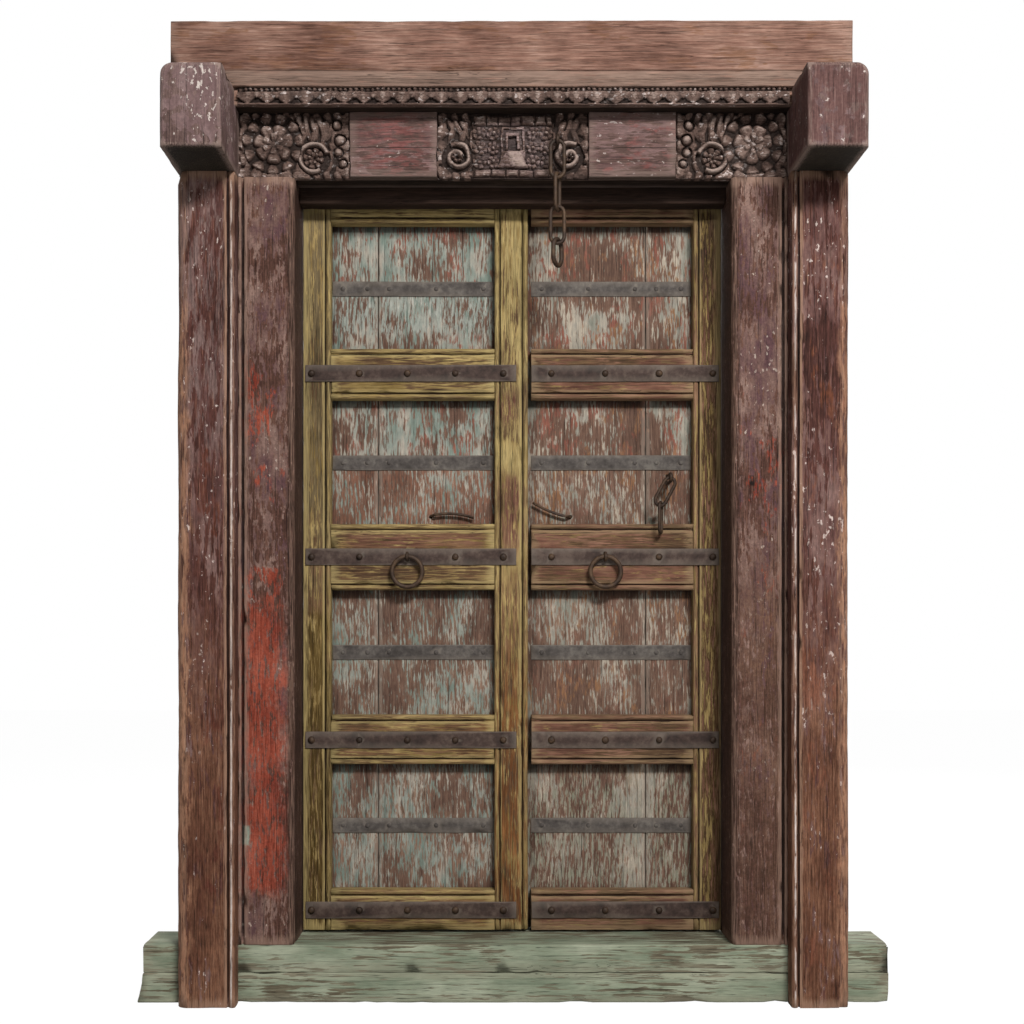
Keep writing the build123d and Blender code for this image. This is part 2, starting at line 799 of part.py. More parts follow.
def ledges(name, side):
    """Battens across the back of a leaf, behind the strapped rails, with chamfered ends."""
    with BuildPart() as battens:
        ledge_x = side * (meeting_gap + ledge_chamfer)
        with Locations(*[(ledge_x, plank_back, rail_middles[i]) for i in strapped_rails]):
            Box(
                pivot_x - ledge_end_gap - meeting_gap,
                ledge_thickness,
                ledge_width,
                align=(low if side > 0 else high, low, mid),
            )
        back_ends = battens.edges().filter_by(Axis.Z).group_by(Axis.Y)[-1]
        chamfer(back_ends, ledge_chamfer)
    save(battens, name)


def ring(name, x):
    """A ring hammered round in short straight pieces, the lower half as the upper one."""
    center = (x, ring_y, ring_z - ring_radius)
    corner_radius = ring_radius / cos(radians(180 / ring_sides))
    bends = [radians(180 * (2 * i + 1) / ring_sides) for i in range(ring_sides // 2)]
    with BuildPart() as hoop:
        with BuildLine(Plane(origin=center, x_dir=(1, 0, 0), z_dir=(0, -1, 0))) as path:
            bent = [(-corner_radius * cos(bend), corner_radius * sin(bend)) for bend in bends]
            Polyline((-ring_radius, 0), *bent, (ring_radius, 0))
        with BuildSketch(Plane(origin=path.line @ 0, z_dir=path.line % 0)):
            RegularPolygon(ring_wire, forged_sides)
        sweep(transition=Transition.RIGHT)
        mirror(about=Plane.XY.offset(ring_z - ring_radius))
    save(hoop, name)


def spike(name, root, tip):
    """A forged spike bent over where it comes out of the plank, lying off to one side."""
    with BuildPart() as bent:
        with BuildLine() as path:
            side = 1 if tip[0] > root[0] else -1
            slope = (tip[1] - root[1]) / abs(tip[0] - root[0])
            Polyline(
                (root[0], plank_face + spike_bury, root[1]),
                (root[0], plank_face - spike_stand + spike_bend, root[1]),
                (root[0] + side * spike_bend, plank_face - spike_stand, root[1] + slope * spike_bend),
                (tip[0], plank_face - spike_stand, tip[1]),
            )
        with BuildSketch(Plane(origin=path.line @ 0, z_dir=path.line % 0)):
            RegularPolygon(spike_wire, forged_sides)
        sweep(transition=Transition.RIGHT)
    save(bent, name)


left_studs = [(x, z) for z in panel_middles for x in left_wide_xs + [-x for x in pivot_stud_xs]]
right_studs = [(x, z) for z in panel_middles for x in right_wide_xs + pivot_stud_xs]
panel_floor = rail_bottoms[3] - panel_height
left_spike = (meeting_edge - left_spike_root_inset, panel_floor + left_spike_lift)
left_spike_tip = (meeting_edge - left_spike_tip_inset, left_spike[1] + left_spike_rise)
right_spike = (right_rail_end + right_spike_root_inset, panel_floor + right_spike_lift)
right_spike_tip = (right_rail_end + right_spike_tip_inset, right_spike[1] + right_spike_rise)
hasp_x = stile_inner - hasp_inset
hasp_z = panel_middles[2] - panel_strap_width / 2 - hasp_drop
hasp_half = hasp_wire + hasp_play + hasp_wire
hasp_eyes = [(hasp_x, hasp_z - hasp_half), (hasp_x, hasp_z + hasp_half)]
rail_names = ("bottom", "fourth", "lock", "second", "top")

# Left leaf
pivot_plank("left_pivot_plank", -1, left_studs)
wide_plank("left_wide_plank", -1, left_studs, left_spike)
left_beads = (False, True)
stile("left_hanging_stile", -leaf_half, hanging_stile_width, leaf_bottom, leaf_top, left_beads, left_nails)
stile(
    "meeting_stile",
    meeting_edge,
    meeting_stile_width,
    leaf_bottom,
    leaf_top,
    (True, True),
    left_nails,
    lap_edge + meeting_gap / 2,
)
for number, rail_name in enumerate(rail_names):
    eye = left_ring_x if rail_name == "lock" else None
    rail(f"left_{rail_name}_rail", -stile_inner, meeting_edge, number, left_nails, eye)
    if number in strapped_rails:
        rail_strap(f"left_{rail_name}_strap", left_strap_ends, rail_middles[number], left_nails, eye)
panel_straps("left_panel_straps", left_panel, left_studs)
nails("left_dome_nails", dome_nail, strap_face, left_nails)
nails("left_panel_nails", stud_nail, panel_strap_face, left_studs)
ledges("left_ledges", -1)
staple("left_ring_staple", left_ring_x, ring_z, ring_eye_half, ring_y, plank_face, ring_eye_wire)
ring("left_ring", left_ring_x)
spike("left_spike", left_spike, left_spike_tip)

# Right leaf
pivot_plank("right_pivot_plank", 1, right_studs, hasp_eyes)
wide_plank("right_wide_plank", 1, right_studs, right_spike)
right_beads = (True, False)
stile(
    "right_hanging_stile",
    stile_inner,
    hanging_stile_width,
    leaf_bottom,
    leaf_top,
    right_beads,
    right_nails,
)
for number, rail_name in enumerate(rail_names):
    eye = right_ring_x if rail_name == "lock" else None
    rail(f"right_{rail_name}_rail", right_rail_end, stile_inner, number, right_nails, eye)
    if number in strapped_rails:
        rail_strap(f"right_{rail_name}_strap", right_strap_ends, rail_middles[number], right_nails, eye)
panel_straps("right_panel_straps", right_panel, right_studs)
nails("right_dome_nails", dome_nail, strap_face, right_nails)
nails("right_panel_nails", stud_nail, panel_strap_face, right_studs)
ledges("right_ledges", 1)
staple("right_ring_staple", right_ring_x, ring_z, ring_eye_half, ring_y, plank_face, ring_eye_wire)
ring("right_ring", right_ring_x)
spike("right_spike", right_spike, right_spike_tip)

# Old hasp: a long-legged staple, a leaning link and a second link that hangs over the lock rail
hasp_y = plank_face - hasp_stand
hasp_length = hasp_straight + 2 * hasp_half_width
hasp_reach = hasp_length / 2 - hasp_wire - chain_play - hasp_wire
lean = Vector(sin(radians(hasp_tilt)), 0, cos(radians(hasp_tilt)))
first_link = Vector(hasp_x, hasp_y, hasp_z - hasp_half) - lean * hasp_reach
low_bow = first_link - lean * (hasp_straight / 2)
hang = hasp_half_width - hasp_wire - chain_play - hasp_wire
second_link = low_bow - Vector(0, 0, hang + hasp_length / 2)
staple("hasp_staple", hasp_x, hasp_z, hasp_half, hasp_y, plank_back, hasp_wire)
link("hasp_link_1", first_link, hasp_half_width, hasp_straight, hasp_wire, 0, hasp_tilt)
link("hasp_link_2", second_link, hasp_half_width, hasp_straight, hasp_wire, hasp_turn)
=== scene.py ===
import math

import bmesh
import bpy
import numpy as np
from mathutils import Matrix, Vector, noise


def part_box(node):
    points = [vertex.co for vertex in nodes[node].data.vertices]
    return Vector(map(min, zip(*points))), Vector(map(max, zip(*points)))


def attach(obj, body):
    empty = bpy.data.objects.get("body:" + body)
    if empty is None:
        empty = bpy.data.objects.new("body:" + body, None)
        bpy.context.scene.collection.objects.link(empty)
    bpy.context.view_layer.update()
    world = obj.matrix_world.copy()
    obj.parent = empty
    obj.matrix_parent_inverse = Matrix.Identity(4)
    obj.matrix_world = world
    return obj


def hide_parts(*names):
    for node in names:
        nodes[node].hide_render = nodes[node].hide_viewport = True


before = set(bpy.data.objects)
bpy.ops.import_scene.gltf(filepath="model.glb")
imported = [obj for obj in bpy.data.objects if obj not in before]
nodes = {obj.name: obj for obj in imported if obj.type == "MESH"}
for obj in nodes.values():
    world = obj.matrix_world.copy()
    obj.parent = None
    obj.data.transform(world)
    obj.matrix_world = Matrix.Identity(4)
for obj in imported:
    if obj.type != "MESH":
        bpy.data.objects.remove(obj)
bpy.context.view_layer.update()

# An old carved plank door: worn timbers, flaked paint and forged iron over the solids.
# Lengths are in millimetres and turned to metres by mm.
mm = 0.001

# Places taken from the solids
jamb_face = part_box("left_jamb")[0][1] / mm
lintel_low, lintel_high = (corner[2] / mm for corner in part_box("lintel_beam"))
post_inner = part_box("right_post")[0][0] / mm
post_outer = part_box("right_post")[1][0] / mm
lintel_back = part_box("lintel_beam")[1][1] / mm

# The lintel's carved blocks: how far their ground lies behind the jambs, their widths, the pitch of the grid that is
# carved, and how far each block goes back behind its ground
carving_depth = 19
carving_ground = jamb_face + carving_depth
side_carving = 256
middle_carving = 350
carving_pitch = 1.6
carving_back = 12

# Wear: the spacing of the cuts that let a timber bend, the size of its chips, and the distance kept true round a pivot
timber_step = 26
chip_reach = 30
pin_reach = 40

# Sheen of all the wood
wood_roughness = 0.78
wood_specular = 0.12


# Finishes


def linear(colour):
    """An sRGB hex colour as linear RGBA."""
    parts = [int(colour[i : i + 2], 16) / 255 for i in (1, 3, 5)]
    return tuple(p / 12.92 if p <= 0.04045 else ((p + 0.055) / 1.055) ** 2.4 for p in parts) + (1.0,)


def put(tree, kind, inputs=None, stops=(), **settings):
    """Adds one shader node with its settings, its ramp stops, and a value or a link on each named input."""
    made = tree.nodes.new("ShaderNode" + kind)
    for key, value in settings.items():
        setattr(made, key, value)
    for i, (position, colour) in enumerate(stops):
        stop = made.color_ramp.elements[i] if i < 2 else made.color_ramp.elements.new(position)
        stop.position = position
        stop.color = linear(colour)
    for key, value in (inputs or {}).items():
        if isinstance(value, bpy.types.NodeSocket):
            tree.links.new(value, made.inputs[key])
        else:
            made.inputs[key].default_value = value
    return made


def even_stops(colours, first=0.3, last=0.7):
    """Colours spread evenly over the middle of a ramp, where noise mostly falls."""
    step = (last - first) / (len(colours) - 1)
    return [(first + i * step, colour) for i, colour in enumerate(colours)]


def stretch(along, across_mm, along_mm):
    """Mapping scale of a pattern that is across_mm wide and along_mm long on the timber's grain."""
    return tuple(1000 / (along_mm if axis == along else across_mm) for axis in "XYZ")


def region(tree, place, x=None, z=None, soft=30, ragged=40):
    """A soft, ragged-edged mask over part of the door, between limits in x and z."""
    shake = put(tree, "TexNoise", {"Vector": place, "Scale": 1000 / 90, "Detail": 4.0, "Roughness": 0.7})
    shift = put(tree, "Math", {0: shake.outputs[0], 1: 0.5}, operation="SUBTRACT").outputs[0]
    parts = put(tree, "SeparateXYZ", {0: place})
    mask = None
    for axis, limits in (("X", x), ("Z", z)):
        for value, sign in zip(limits or (), (1, -1)):
            if value is None:
                continue
            moved = put(
                tree, "Math", {0: shift, 1: ragged * mm * 5, 2: parts.outputs[axis]}, operation="MULTIPLY_ADD"
            ).outputs[0]
            ends = (value - sign * soft, value + sign * soft)
            step = put(
                tree,
                "MapRange",
                {"Value": moved, 1: min(ends) * mm, 2: max(ends) * mm, 3: float(sign < 0), 4: float(sign > 0)},
                interpolation_type="SMOOTHSTEP",
            ).outputs[0]
            mask = step if mask is None else put(tree, "Math", {0: mask, 1: step}, operation="MULTIPLY").outputs[0]
    return mask


def aged_wood(
    name,
    along,
    wood,
    paint=None,
    cover=0.5,
    streak=(6, 70),
    patch=220,
    worn="#8f7366",
    worn_amount=0.6,
    fleck=None,
    fleck_cut=0.66,
    zones=(),
    crisp=0.02,
    relief=0.5,
    mottle=(4, 45, 0.3),
):
    """Old hardwood with its grain along one axis, under paint that has flaked off in streaks along the grain."""
    material = bpy.data.materials.new(name)
    material.use_nodes = True
    tree = material.node_tree
    tree.nodes.clear()
    place = put(tree, "TexCoord").outputs["Object"]
    grain_place = put(tree, "Mapping", {0: place, 3: stretch(along, 2.6, 70)}).outputs[0]
    grain = put(tree, "TexNoise", {0: grain_place, "Scale": 1.0, "Detail": 6.0, "Roughness": 0.65, "Distortion": 0.4})
    broad_scale = stretch(along, patch, patch * 1.7)
    broad_place = put(tree, "Mapping", {0: place, 1: (0.3, 0.1, 0.7), 3: broad_scale}).outputs[0]
    broad = put(tree, "TexNoise", {0: broad_place, "Scale": 1.0, "Detail": 4.0, "Roughness": 0.6})
    tone = put(tree, "Math", {0: grain.outputs[0], 1: broad.outputs[0]}, operation="ADD").outputs[0]
    half = put(tree, "Math", {0: tone, 1: 0.5}, operation="MULTIPLY").outputs[0]
    colour = put(tree, "ValToRGB", {0: half}, even_stops(wood, 0.38, 0.64)).outputs[0]
    height = put(tree, "Math", {0: grain.outputs[0], 1: 0.5}, operation="MULTIPLY").outputs[0]
    if paint:
        streak_place = put(tree, "Mapping", {0: place, 1: (1.7, 0.4, 0.2), 3: stretch(along, *streak)}).outputs[0]
        streaks = put(tree, "TexNoise", {0: streak_place, "Scale": 1.0, "Detail": 5.0, "Roughness": 0.6})
        tint_place = put(tree, "Mapping", {0: place, 1: (0.9, 0.9, 0.1), 3: stretch(along, patch * 0.3, patch * 0.8)})
        tint = put(tree, "TexNoise", {0: tint_place.outputs[0], "Scale": 1.0, "Detail": 3.0, "Roughness": 0.6})
        coat = put(tree, "ValToRGB", {0: tint.outputs[0]}, even_stops(paint, 0.36, 0.64)).outputs[0]
        share = put(tree, "Math", {0: broad.outputs[0], 1: 0.9, 2: streaks.outputs[0]}, operation="MULTIPLY_ADD")
        edge = 0.95 + 0.32 * (0.5 - cover)
        mask = put(
            tree, "MapRange", {"Value": share.outputs[0], 1: edge - crisp, 2: edge + crisp, 3: 0.0, 4: 1.0}
        ).outputs[0]
        colour = put(tree, "MixRGB", {0: mask, 1: colour, 2: coat}).outputs[0]
        height = put(tree, "Math", {0: mask, 1: 0.35, 2: height}, operation="MULTIPLY_ADD").outputs[0]
    if fleck:
        chip_place = put(tree, "Mapping", {0: place, 3: stretch(along, 10, 17)}).outputs[0]
        chip = put(tree, "TexNoise", {0: chip_place, "Scale": 1.0, "Detail": 4.0, "Roughness": 0.6}).outputs[0]
        crowd = put(tree, "Math", {0: broad.outputs[0], 1: 0.4, 2: chip}, operation="MULTIPLY_ADD").outputs[0]
        edge = fleck_cut + 0.2
        chips = put(tree, "MapRange", {"Value": crowd, 1: edge, 2: edge + 0.03, 3: 0.0, 4: 0.85}).outputs[0]
        colour = put(tree, "MixRGB", {0: chips, 1: colour, 2: linear(fleck)}).outputs[0]
    for stops, amount, limits, *gate in zones:
        zone = region(tree, place, **limits)
        if gate:
            offset, size = gate
            gap_place = put(tree, "Mapping", {0: place, 1: (offset, 0.6, 1.2), 3: stretch(along, size, size * 2)})
            gap = put(tree, "TexNoise", {0: gap_place.outputs[0], "Scale": 1.0, "Detail": 4.0, "Roughness": 0.6})
            patches = put(tree, "MapRange", {"Value": gap.outputs[0], 1: 0.54, 2: 0.58, 3: 0.0, 4: 1.0}).outputs[0]
            zone = put(tree, "Math", {0: zone, 1: patches}, operation="MULTIPLY").outputs[0]
        speck_place = put(tree, "Mapping", {0: place, 1: (2.1, 0.2, 0.5), 3: stretch(along, streak[0], streak[1])})
        speck = put(tree, "TexNoise", {0: speck_place.outputs[0], "Scale": 1.0, "Detail": 5.0, "Roughness": 0.65})
        bite = put(
            tree,
            "MapRange",
            {"Value": speck.outputs[0], 1: 0.62 - 0.4 * amount, 2: 0.68 - 0.4 * amount, 3: 0.0, 4: 1.0},
        ).outputs[0]
        zone = put(tree, "Math", {0: zone, 1: bite}, operation="MULTIPLY").outputs[0]
        hue = put(tree, "ValToRGB", {0: half}, even_stops(stops, 0.4, 0.62)).outputs[0]
        colour = put(tree, "MixRGB", {0: zone, 1: colour, 2: hue}).outputs[0]
    # Fine grain, or the mottle of old varnish
    fine_place = put(tree, "Mapping", {0: place, 1: (0.2, 0.6, 1.1), 3: stretch(along, *mottle[:2])}).outputs[0]
    fine = put(tree, "TexNoise", {0: fine_place, "Scale": 1.0, "Detail": 6.0, "Roughness": 0.75}).outputs[0]
    tones = {"Value": fine, 1: 0.35, 2: 0.65, 3: 1 - mottle[2], 4: 1 + 0.7 * mottle[2]}
    tone = put(tree, "MapRange", tones).outputs[0]
    colour = put(tree, "MixRGB", {0: 1.0, 1: colour, 2: tone}, blend_type="MULTIPLY").outputs[0]
    # Long drying cracks, dark and sunk
    crack_place = put(tree, "Mapping", {0: place, 1: (0.5, 1.3, 0.8), 3: stretch(along, 9, 520)}).outputs[0]
    crack = put(tree, "TexNoise", {0: crack_place, "Scale": 1.0, "Detail": 3.0, "Roughness": 0.5, "Distortion": 0.3})
    off = put(tree, "Math", {0: crack.outputs[0], 1: 0.5}, operation="SUBTRACT").outputs[0]
    gap = put(tree, "Math", {0: off}, operation="ABSOLUTE").outputs[0]
    sound = put(tree, "MapRange", {"Value": gap, 1: 0.0, 2: 0.014, 3: 0.3, 4: 1.0}).outputs[0]
    # Arrises rubbed to bare wood, and painted shade darkening the hollows
    wear_and_shade = put(tree, "Attribute", attribute_name="wear_and_shade").outputs["Fac"]
    rubbing = put(tree, "Math", {0: grain.outputs[0], 1: 1.4, 2: -0.7}, operation="MULTIPLY_ADD").outputs[0]
    rubbed = put(tree, "Math", {0: wear_and_shade, 1: rubbing}, operation="ADD").outputs[0]
    bare = put(tree, "MapRange", {"Value": rubbed, 1: 0.12, 2: 0.5, 3: 0.0, 4: worn_amount}).outputs[0]
    colour = put(tree, "MixRGB", {0: bare, 1: colour, 2: linear(worn)}).outputs[0]
    # Painted shade: negative values, from hollows, darken the colour
    hollow_shade = put(tree, "MapRange", {"Value": wear_and_shade, 1: -0.6, 2: -0.03, 3: 0.22, 4: 1.0}).outputs[0]
    shade = put(tree, "Math", {0: sound, 1: hollow_shade}, operation="MULTIPLY").outputs[0]
    colour = put(tree, "MixRGB", {0: 1.0, 1: colour, 2: shade}, blend_type="MULTIPLY").outputs[0]
    height = put(tree, "Math", {0: sound, 1: 0.6, 2: height}, operation="MULTIPLY_ADD").outputs[0]
    bump = put(tree, "Bump", {"Strength": relief, "Distance": 1.2 * mm, "Height": height}).outputs[0]
    shader = put(tree, "BsdfPrincipled", {"Base Color": colour, "Roughness": wood_roughness, "Normal": bump})
    shader.inputs["Specular IOR Level"].default_value = wood_specular
    put(tree, "OutputMaterial", {0: shader.outputs[0]})
    return material


# Posts: dark maroon paint on hardwood, rubbed tan on the outer arris, with white flecks and a limed line on the bead
limed_line = ("#9d8f88", "#c4b8b0", "#d8cfc9")
bare_tan = ("#7d5643", "#936a52", "#a67f66")
post_paint = aged_wood(
    "maroon paint on old hardwood",
    "Z",
    ("#2f1a14", "#50302a", "#74503f"),
    ("#4a2f2b", "#5e423d", "#745a54"),
    cover=0.62,
    streak=(10, 60),
    worn="#94745f",
    worn_amount=0.7,
    fleck="#c0afa6",
    fleck_cut=0.635,
    zones=[
        (("#40231a", "#61402f", "#7d5844"), 0.6, {"z": (None, 800), "soft": 350, "ragged": 120}),
        (("#381f16", "#553627", "#6e4b38"), 0.42, {"x": (632, None), "z": (None, 700), "soft": 200, "ragged": 80}),
        (("#53403c", "#6f5954", "#88716a"), 0.34, {"x": (None, -632), "z": (1250, None), "soft": 80, "ragged": 60}),
        (
            ("#3a1d15", "#552f24", "#6d4435"),
            0.45,
            {"x": (-712, -655), "z": (100, 1300), "soft": 20, "ragged": 20},
            0.5,
            80,
        ),
        (
            ("#56301f", "#6c4332", "#805646"),
            0.36,
            {"x": (655, 735), "z": (100, 1700), "soft": 20, "ragged": 20},
            0.8,
            90,
        ),
        (bare_tan, 0.42, {"x": (None, -738), "z": (None, 1600), "soft": 12, "ragged": 10}),
        (bare_tan, 0.42, {"x": (741, None), "z": (None, 1600), "soft": 12, "ragged": 10}),
        (limed_line, 0.58, {"x": (-642, -638), "soft": 1, "ragged": 0.6}),
        (limed_line, 0.45, {"x": (638, 642), "soft": 1, "ragged": 0.6}),
    ],
    mottle=(6, 20, 0.36),
)
# Jambs: purple brown over red lead, bright red on the lower half of the left one, with painted shade on the reveals
# beside the leaves and a hole painted dark as shade in the right one
red_lead = ("#6a2a1e", "#85402f", "#9c5240")
jamb_paint = aged_wood(
    "purple brown paint over red lead",
    "Z",
    ("#35201a", "#563b31", "#765849"),
    ("#52393a", "#674e47", "#7d645a"),
    cover=0.56,
    streak=(6, 24),
    patch=110,
    worn="#8d7263",
    fleck="#a8988c",
    fleck_cut=0.665,
    zones=[
        (red_lead, 0.36, {"x": (-632, -520), "z": (220, 1500), "soft": 30, "ragged": 30}, 0.4, 60),
        (red_lead, 0.2, {"x": (510, 632), "z": (300, 1400), "soft": 30, "ragged": 30}, 0.9, 50),
        (("#402b22", "#523a2e", "#664a3b"), 0.5, {"x": (480, None), "z": (None, 1000), "soft": 150, "ragged": 60}),
        (red_lead, 0.52, {"x": (-616, -534), "z": (250, 930), "soft": 24, "ragged": 26}),
        (red_lead, 0.4, {"x": (-622, -528), "z": (420, 760), "soft": 40, "ragged": 30}, 1.7, 55),
        # Painted shade on the reveals beside the leaves
        (("#2b1b15", "#38251d", "#463026"), 0.6, {"x": (-519, 519), "soft": 7, "ragged": 3}),
        (("#6f8073", "#8a9a8a", "#9aa596"), 0.8, {"x": (-622, -606), "z": (364, 408), "soft": 4, "ragged": 5}),
        # A hole in the right jamb, painted dark as shade
        (("#120b08", "#1a100b", "#241710"), 1.0, {"x": (544, 556), "z": (1190, 1202), "soft": 4, "ragged": 3}),
    ],
    mottle=(5, 6, 0.34),
)
# Corbels: the posts' paint on sawn beam ends, with painted shade on their undersides
corbel_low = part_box("left_corbel")[0][2] / mm
corbel_paint = aged_wood(
    "maroon paint on beam ends",
    "Z",
    ("#463430", "#614d48", "#7d6761"),
    ("#5a4544", "#6d5755", "#806b68"),
    cover=0.58,
    streak=(26, 30),
    worn="#8e7a70",
    fleck="#c3b7ae",
    fleck_cut=0.625,
    zones=[
        (("#45302c", "#5a403c", "#6e524d"), 0.5, {"x": (500, None)}),
        # Painted shade on the undersides
        (("#1c1813", "#2a241d", "#3a332a"), 0.9, {"z": (None, corbel_low + 3), "soft": 3, "ragged": 1}),
    ],
    mottle=(7, 9, 0.28),
)
# Head rail: hardwood painted nearly black, as painted shade under the lintel
head_wood = aged_wood("hardwood darkened as painted shade", "X", ("#1a100b", "#271a13", "#38271e"), worn="#42322a", worn_amount=0.3)
# Lintel fields: dull red wash over planed hardwood, with one long shake; the underside is painted dark as shade
# Near-black for cracks, seams and a joint line, and for painted shade on undersides
soot_and_shade = ("#170f0b", "#221812", "#2f231b")
field_paint = aged_wood(
    "dull red wash on planed hardwood",
    "X",
    ("#42302b", "#58443e", "#725d56"),
    ("#533c39", "#654e4a", "#765f5c"),
    cover=0.62,
    streak=(10, 40),
    worn="#7c6a61",
    worn_amount=0.4,
    fleck="#a99b94",
    fleck_cut=0.63,
    zones=[
        (("#5f3a35", "#704844", "#805855"), 0.36, {"x": (-345, -205), "soft": 45, "ragged": 20}),
        (("#5f3a35", "#704844", "#805855"), 0.3, {"x": (180, 380), "soft": 45, "ragged": 20}, 0.6, 40),
        (soot_and_shade, 0.9, {"x": (-376, 376), "z": (1966.5, 1968.5), "soft": 1.2, "ragged": 1.5}),
        # Painted shade on the underside
        (soot_and_shade, 1.0, {"z": (None, lintel_low + 3), "soft": 2, "ragged": 1}),
    ],
    mottle=(5, 18, 0.3),
)
# Carving: dark oiled hardwood, worn pale on its high points
carved_wood = aged_wood(
    "oiled carved hardwood",
    "X",
    ("#46352e", "#5e4b43", "#77635a"),
    patch=90,
    worn="#9d8a80",
    worn_amount=0.7,
    fleck="#b5a7a1",
    fleck_cut=0.625,
    zones=[(("#6c5854", "#84706c", "#a08e8a"), 0.42, {"x": (-78, 78), "z": (1915, 2030), "soft": 12, "ragged": 10})],
    relief=0.8,
    mottle=(4, 5, 0.34),
)
# Cornice: bare weathered hardwood with a warm wavy grain; the underside is painted dark as shade
cornice_wood = aged_wood(
    "bare weathered hardwood",
    "X",
    ("#4c3328", "#6e4f43", "#816254", "#97786a"),
    patch=110,
    worn="#977c6e",
    worn_amount=0.35,
    zones=[
        (("#5c3d2f", "#70503f", "#83614e"), 0.45, {"x": (-790, 790)}, 0.2, 60),
        (("#53433a", "#655146", "#776256"), 0.62, {"z": (2090, 2124), "soft": 6, "ragged": 6}),
        (soot_and_shade, 0.7, {"z": (2124, 2127), "soft": 1.5, "ragged": 1}),
        # Painted shade on the underside
        (soot_and_shade, 1.0, {"z": (None, lintel_high + 4), "soft": 2, "ragged": 1}),
    ],
    mottle=(6, 70, 0.34),
)
# Sill: grey green paint, scuffed along the grain
sill_paint = aged_wood(
    "grey green paint on sill boards",
    "X",
    ("#4d4537", "#6a6351", "#7f7864"),
    ("#727b67", "#848b76", "#969b86"),
    cover=0.74,
    streak=(7, 100),
    worn="#918c78",
    worn_amount=0.4,
    mottle=(4, 45, 0.22),
)


def leaf_finish(name, along, wood, paint, worn, zones):
    """Paint on the moulded frame of a leaf, worn through along the grain."""
    return aged_wood(
        name,
        along,
        wood,
        paint,
        cover=0.58,
        streak=(4.5, 55),
        patch=150,
        worn=worn,
        worn_amount=0.6,
        zones=zones,
        crisp=0.045,
        mottle=(4, 50, 0.32),
    )


# Left leaf and meeting stile: yellow ochre, with ruddy wood showing on the meeting stile and lock rail, worn to brown
# towards the sill
ochre = ("#6b5730", "#867046", "#9f8959")
old_wood = ("#422f22", "#5c4630", "#755c40")
ruddy = ("#53362a", "#694739", "#7e5c4a")
stile_x = (-42, 36)
left_zones = [
    (("#463a26", "#62533a", "#756549"), 0.46, {"x": (None, -430), "z": (900, None), "soft": 20, "ragged": 20}),
    (("#84724a", "#958256", "#a59263"), 0.42, {"x": stile_x, "z": (1080, None), "soft": 40, "ragged": 40}),
    (ruddy, 0.44, {"x": stile_x, "z": (1050, 1225), "soft": 30, "ragged": 24}),
    (ruddy, 0.34, {"x": stile_x, "z": (1345, 1440), "soft": 24, "ragged": 24}),
    (ruddy, 0.5, {"x": (-400, -70), "z": (1052, 1094), "soft": 16, "ragged": 6}),
    (("#4a3423", "#6b4e36", "#86684c"), 0.38, {"z": (None, 1010), "soft": 160, "ragged": 120}),
    (("#352611", "#4e3c1c", "#64502a"), 0.46, {"x": (None, -430), "z": (None, 900), "soft": 20, "ragged": 20}),
    (("#5a3418", "#74471f", "#865a30"), 0.4, {"x": (-42, 40), "z": (None, 760), "soft": 90, "ragged": 60}),
]
left_stile = leaf_finish("ochre paint on stiles", "Z", old_wood, ochre, "#a69363", left_zones)
left_rail = leaf_finish("ochre paint on rails", "X", old_wood, ochre, "#a69363", left_zones)
# Right leaf: ruddy brown rails with remains of the ochre, which is left in streaks on the hanging stile; that stile is
# dark partly from brown paint and partly from painted shade cast by the jamb
right_zones = [
    (ochre, 0.2, {"z": (100, 1900)}, 0.7, 90),
    # Dark brown paint, and painted shade from the jamb, on the hanging side
    (("#2c1e16", "#46321f", "#5c452c"), 0.5, {"x": (446, None), "soft": 6, "ragged": 6}),
    (ochre, 0.26, {"x": (432, 482), "soft": 6, "ragged": 6}),
]
right_stile = leaf_finish("ruddy paint on stiles", "Z", old_wood, ruddy, "#96825a", right_zones)
right_rail = leaf_finish("ruddy paint on rails", "X", old_wood, ruddy, "#8f775a", right_zones)


def plank_finish(name, paint, cover, red, red_amount, *more):
    """Chalky paint flaked off in streaks down the grain of red brown planks."""
    return aged_wood(
        name,
        "Z",
        ("#4e3a30", "#674e41", "#7e6050"),
        paint,
        cover=cover,
        streak=(5.5, 38),
        patch=95,
        worn="#9a8c7e",
        worn_amount=0.3,
        zones=[(red, red_amount, {"z": (100, 1900)}, 0.3, 42), *more],
        crisp=0.04,
        mottle=(4, 26, 0.26),
    )


# Planks: grey green paint on the left leaf, with a split in its top panel; browner and paler streaks on the right
plank_red = ("#6a4034", "#7a4d40", "#895a4b")
split = (soot_and_shade, 1.0, {"x": (-119.3, -117.7), "z": (1690, None), "soft": 0.8, "ragged": 1})
amber = (("#70503a", "#7f5c42", "#8c6a4e"), 0.32, {"x": (30, None), "z": (100, 1900)}, 1.6, 50)
dusty = (("#59443a", "#6f5748", "#836958"), 0.3, {"z": (None, 1160), "soft": 60, "ragged": 60})
faded = (("#70705f", "#868172", "#989081"), 0.3, {"z": (None, 520), "soft": 60, "ragged": 40})
chalky = (("#7c8379", "#8f9188", "#a19f94"), 0.32, {"z": (1570, 1680), "soft": 12, "ragged": 8})
ruddy_low = (("#664536", "#765444", "#876553"), 0.36, {"z": (1070, 1256), "soft": 12, "ragged": 8})
browned = (("#533f33", "#685043", "#7c6352"), 0.3, {"z": (790, 1256), "soft": 16, "ragged": 12})
left_seam, right_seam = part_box("left_wide_plank")[0][0] / mm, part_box("right_wide_plank")[1][0] / mm
seams = [(soot_and_shade, 1.0, {"x": (x - 1.6, x + 1.6), "soft": 0.8, "ragged": 0.2}) for x in (left_seam, right_seam)]
left_more = (dusty, chalky, ruddy_low, split, *seams)
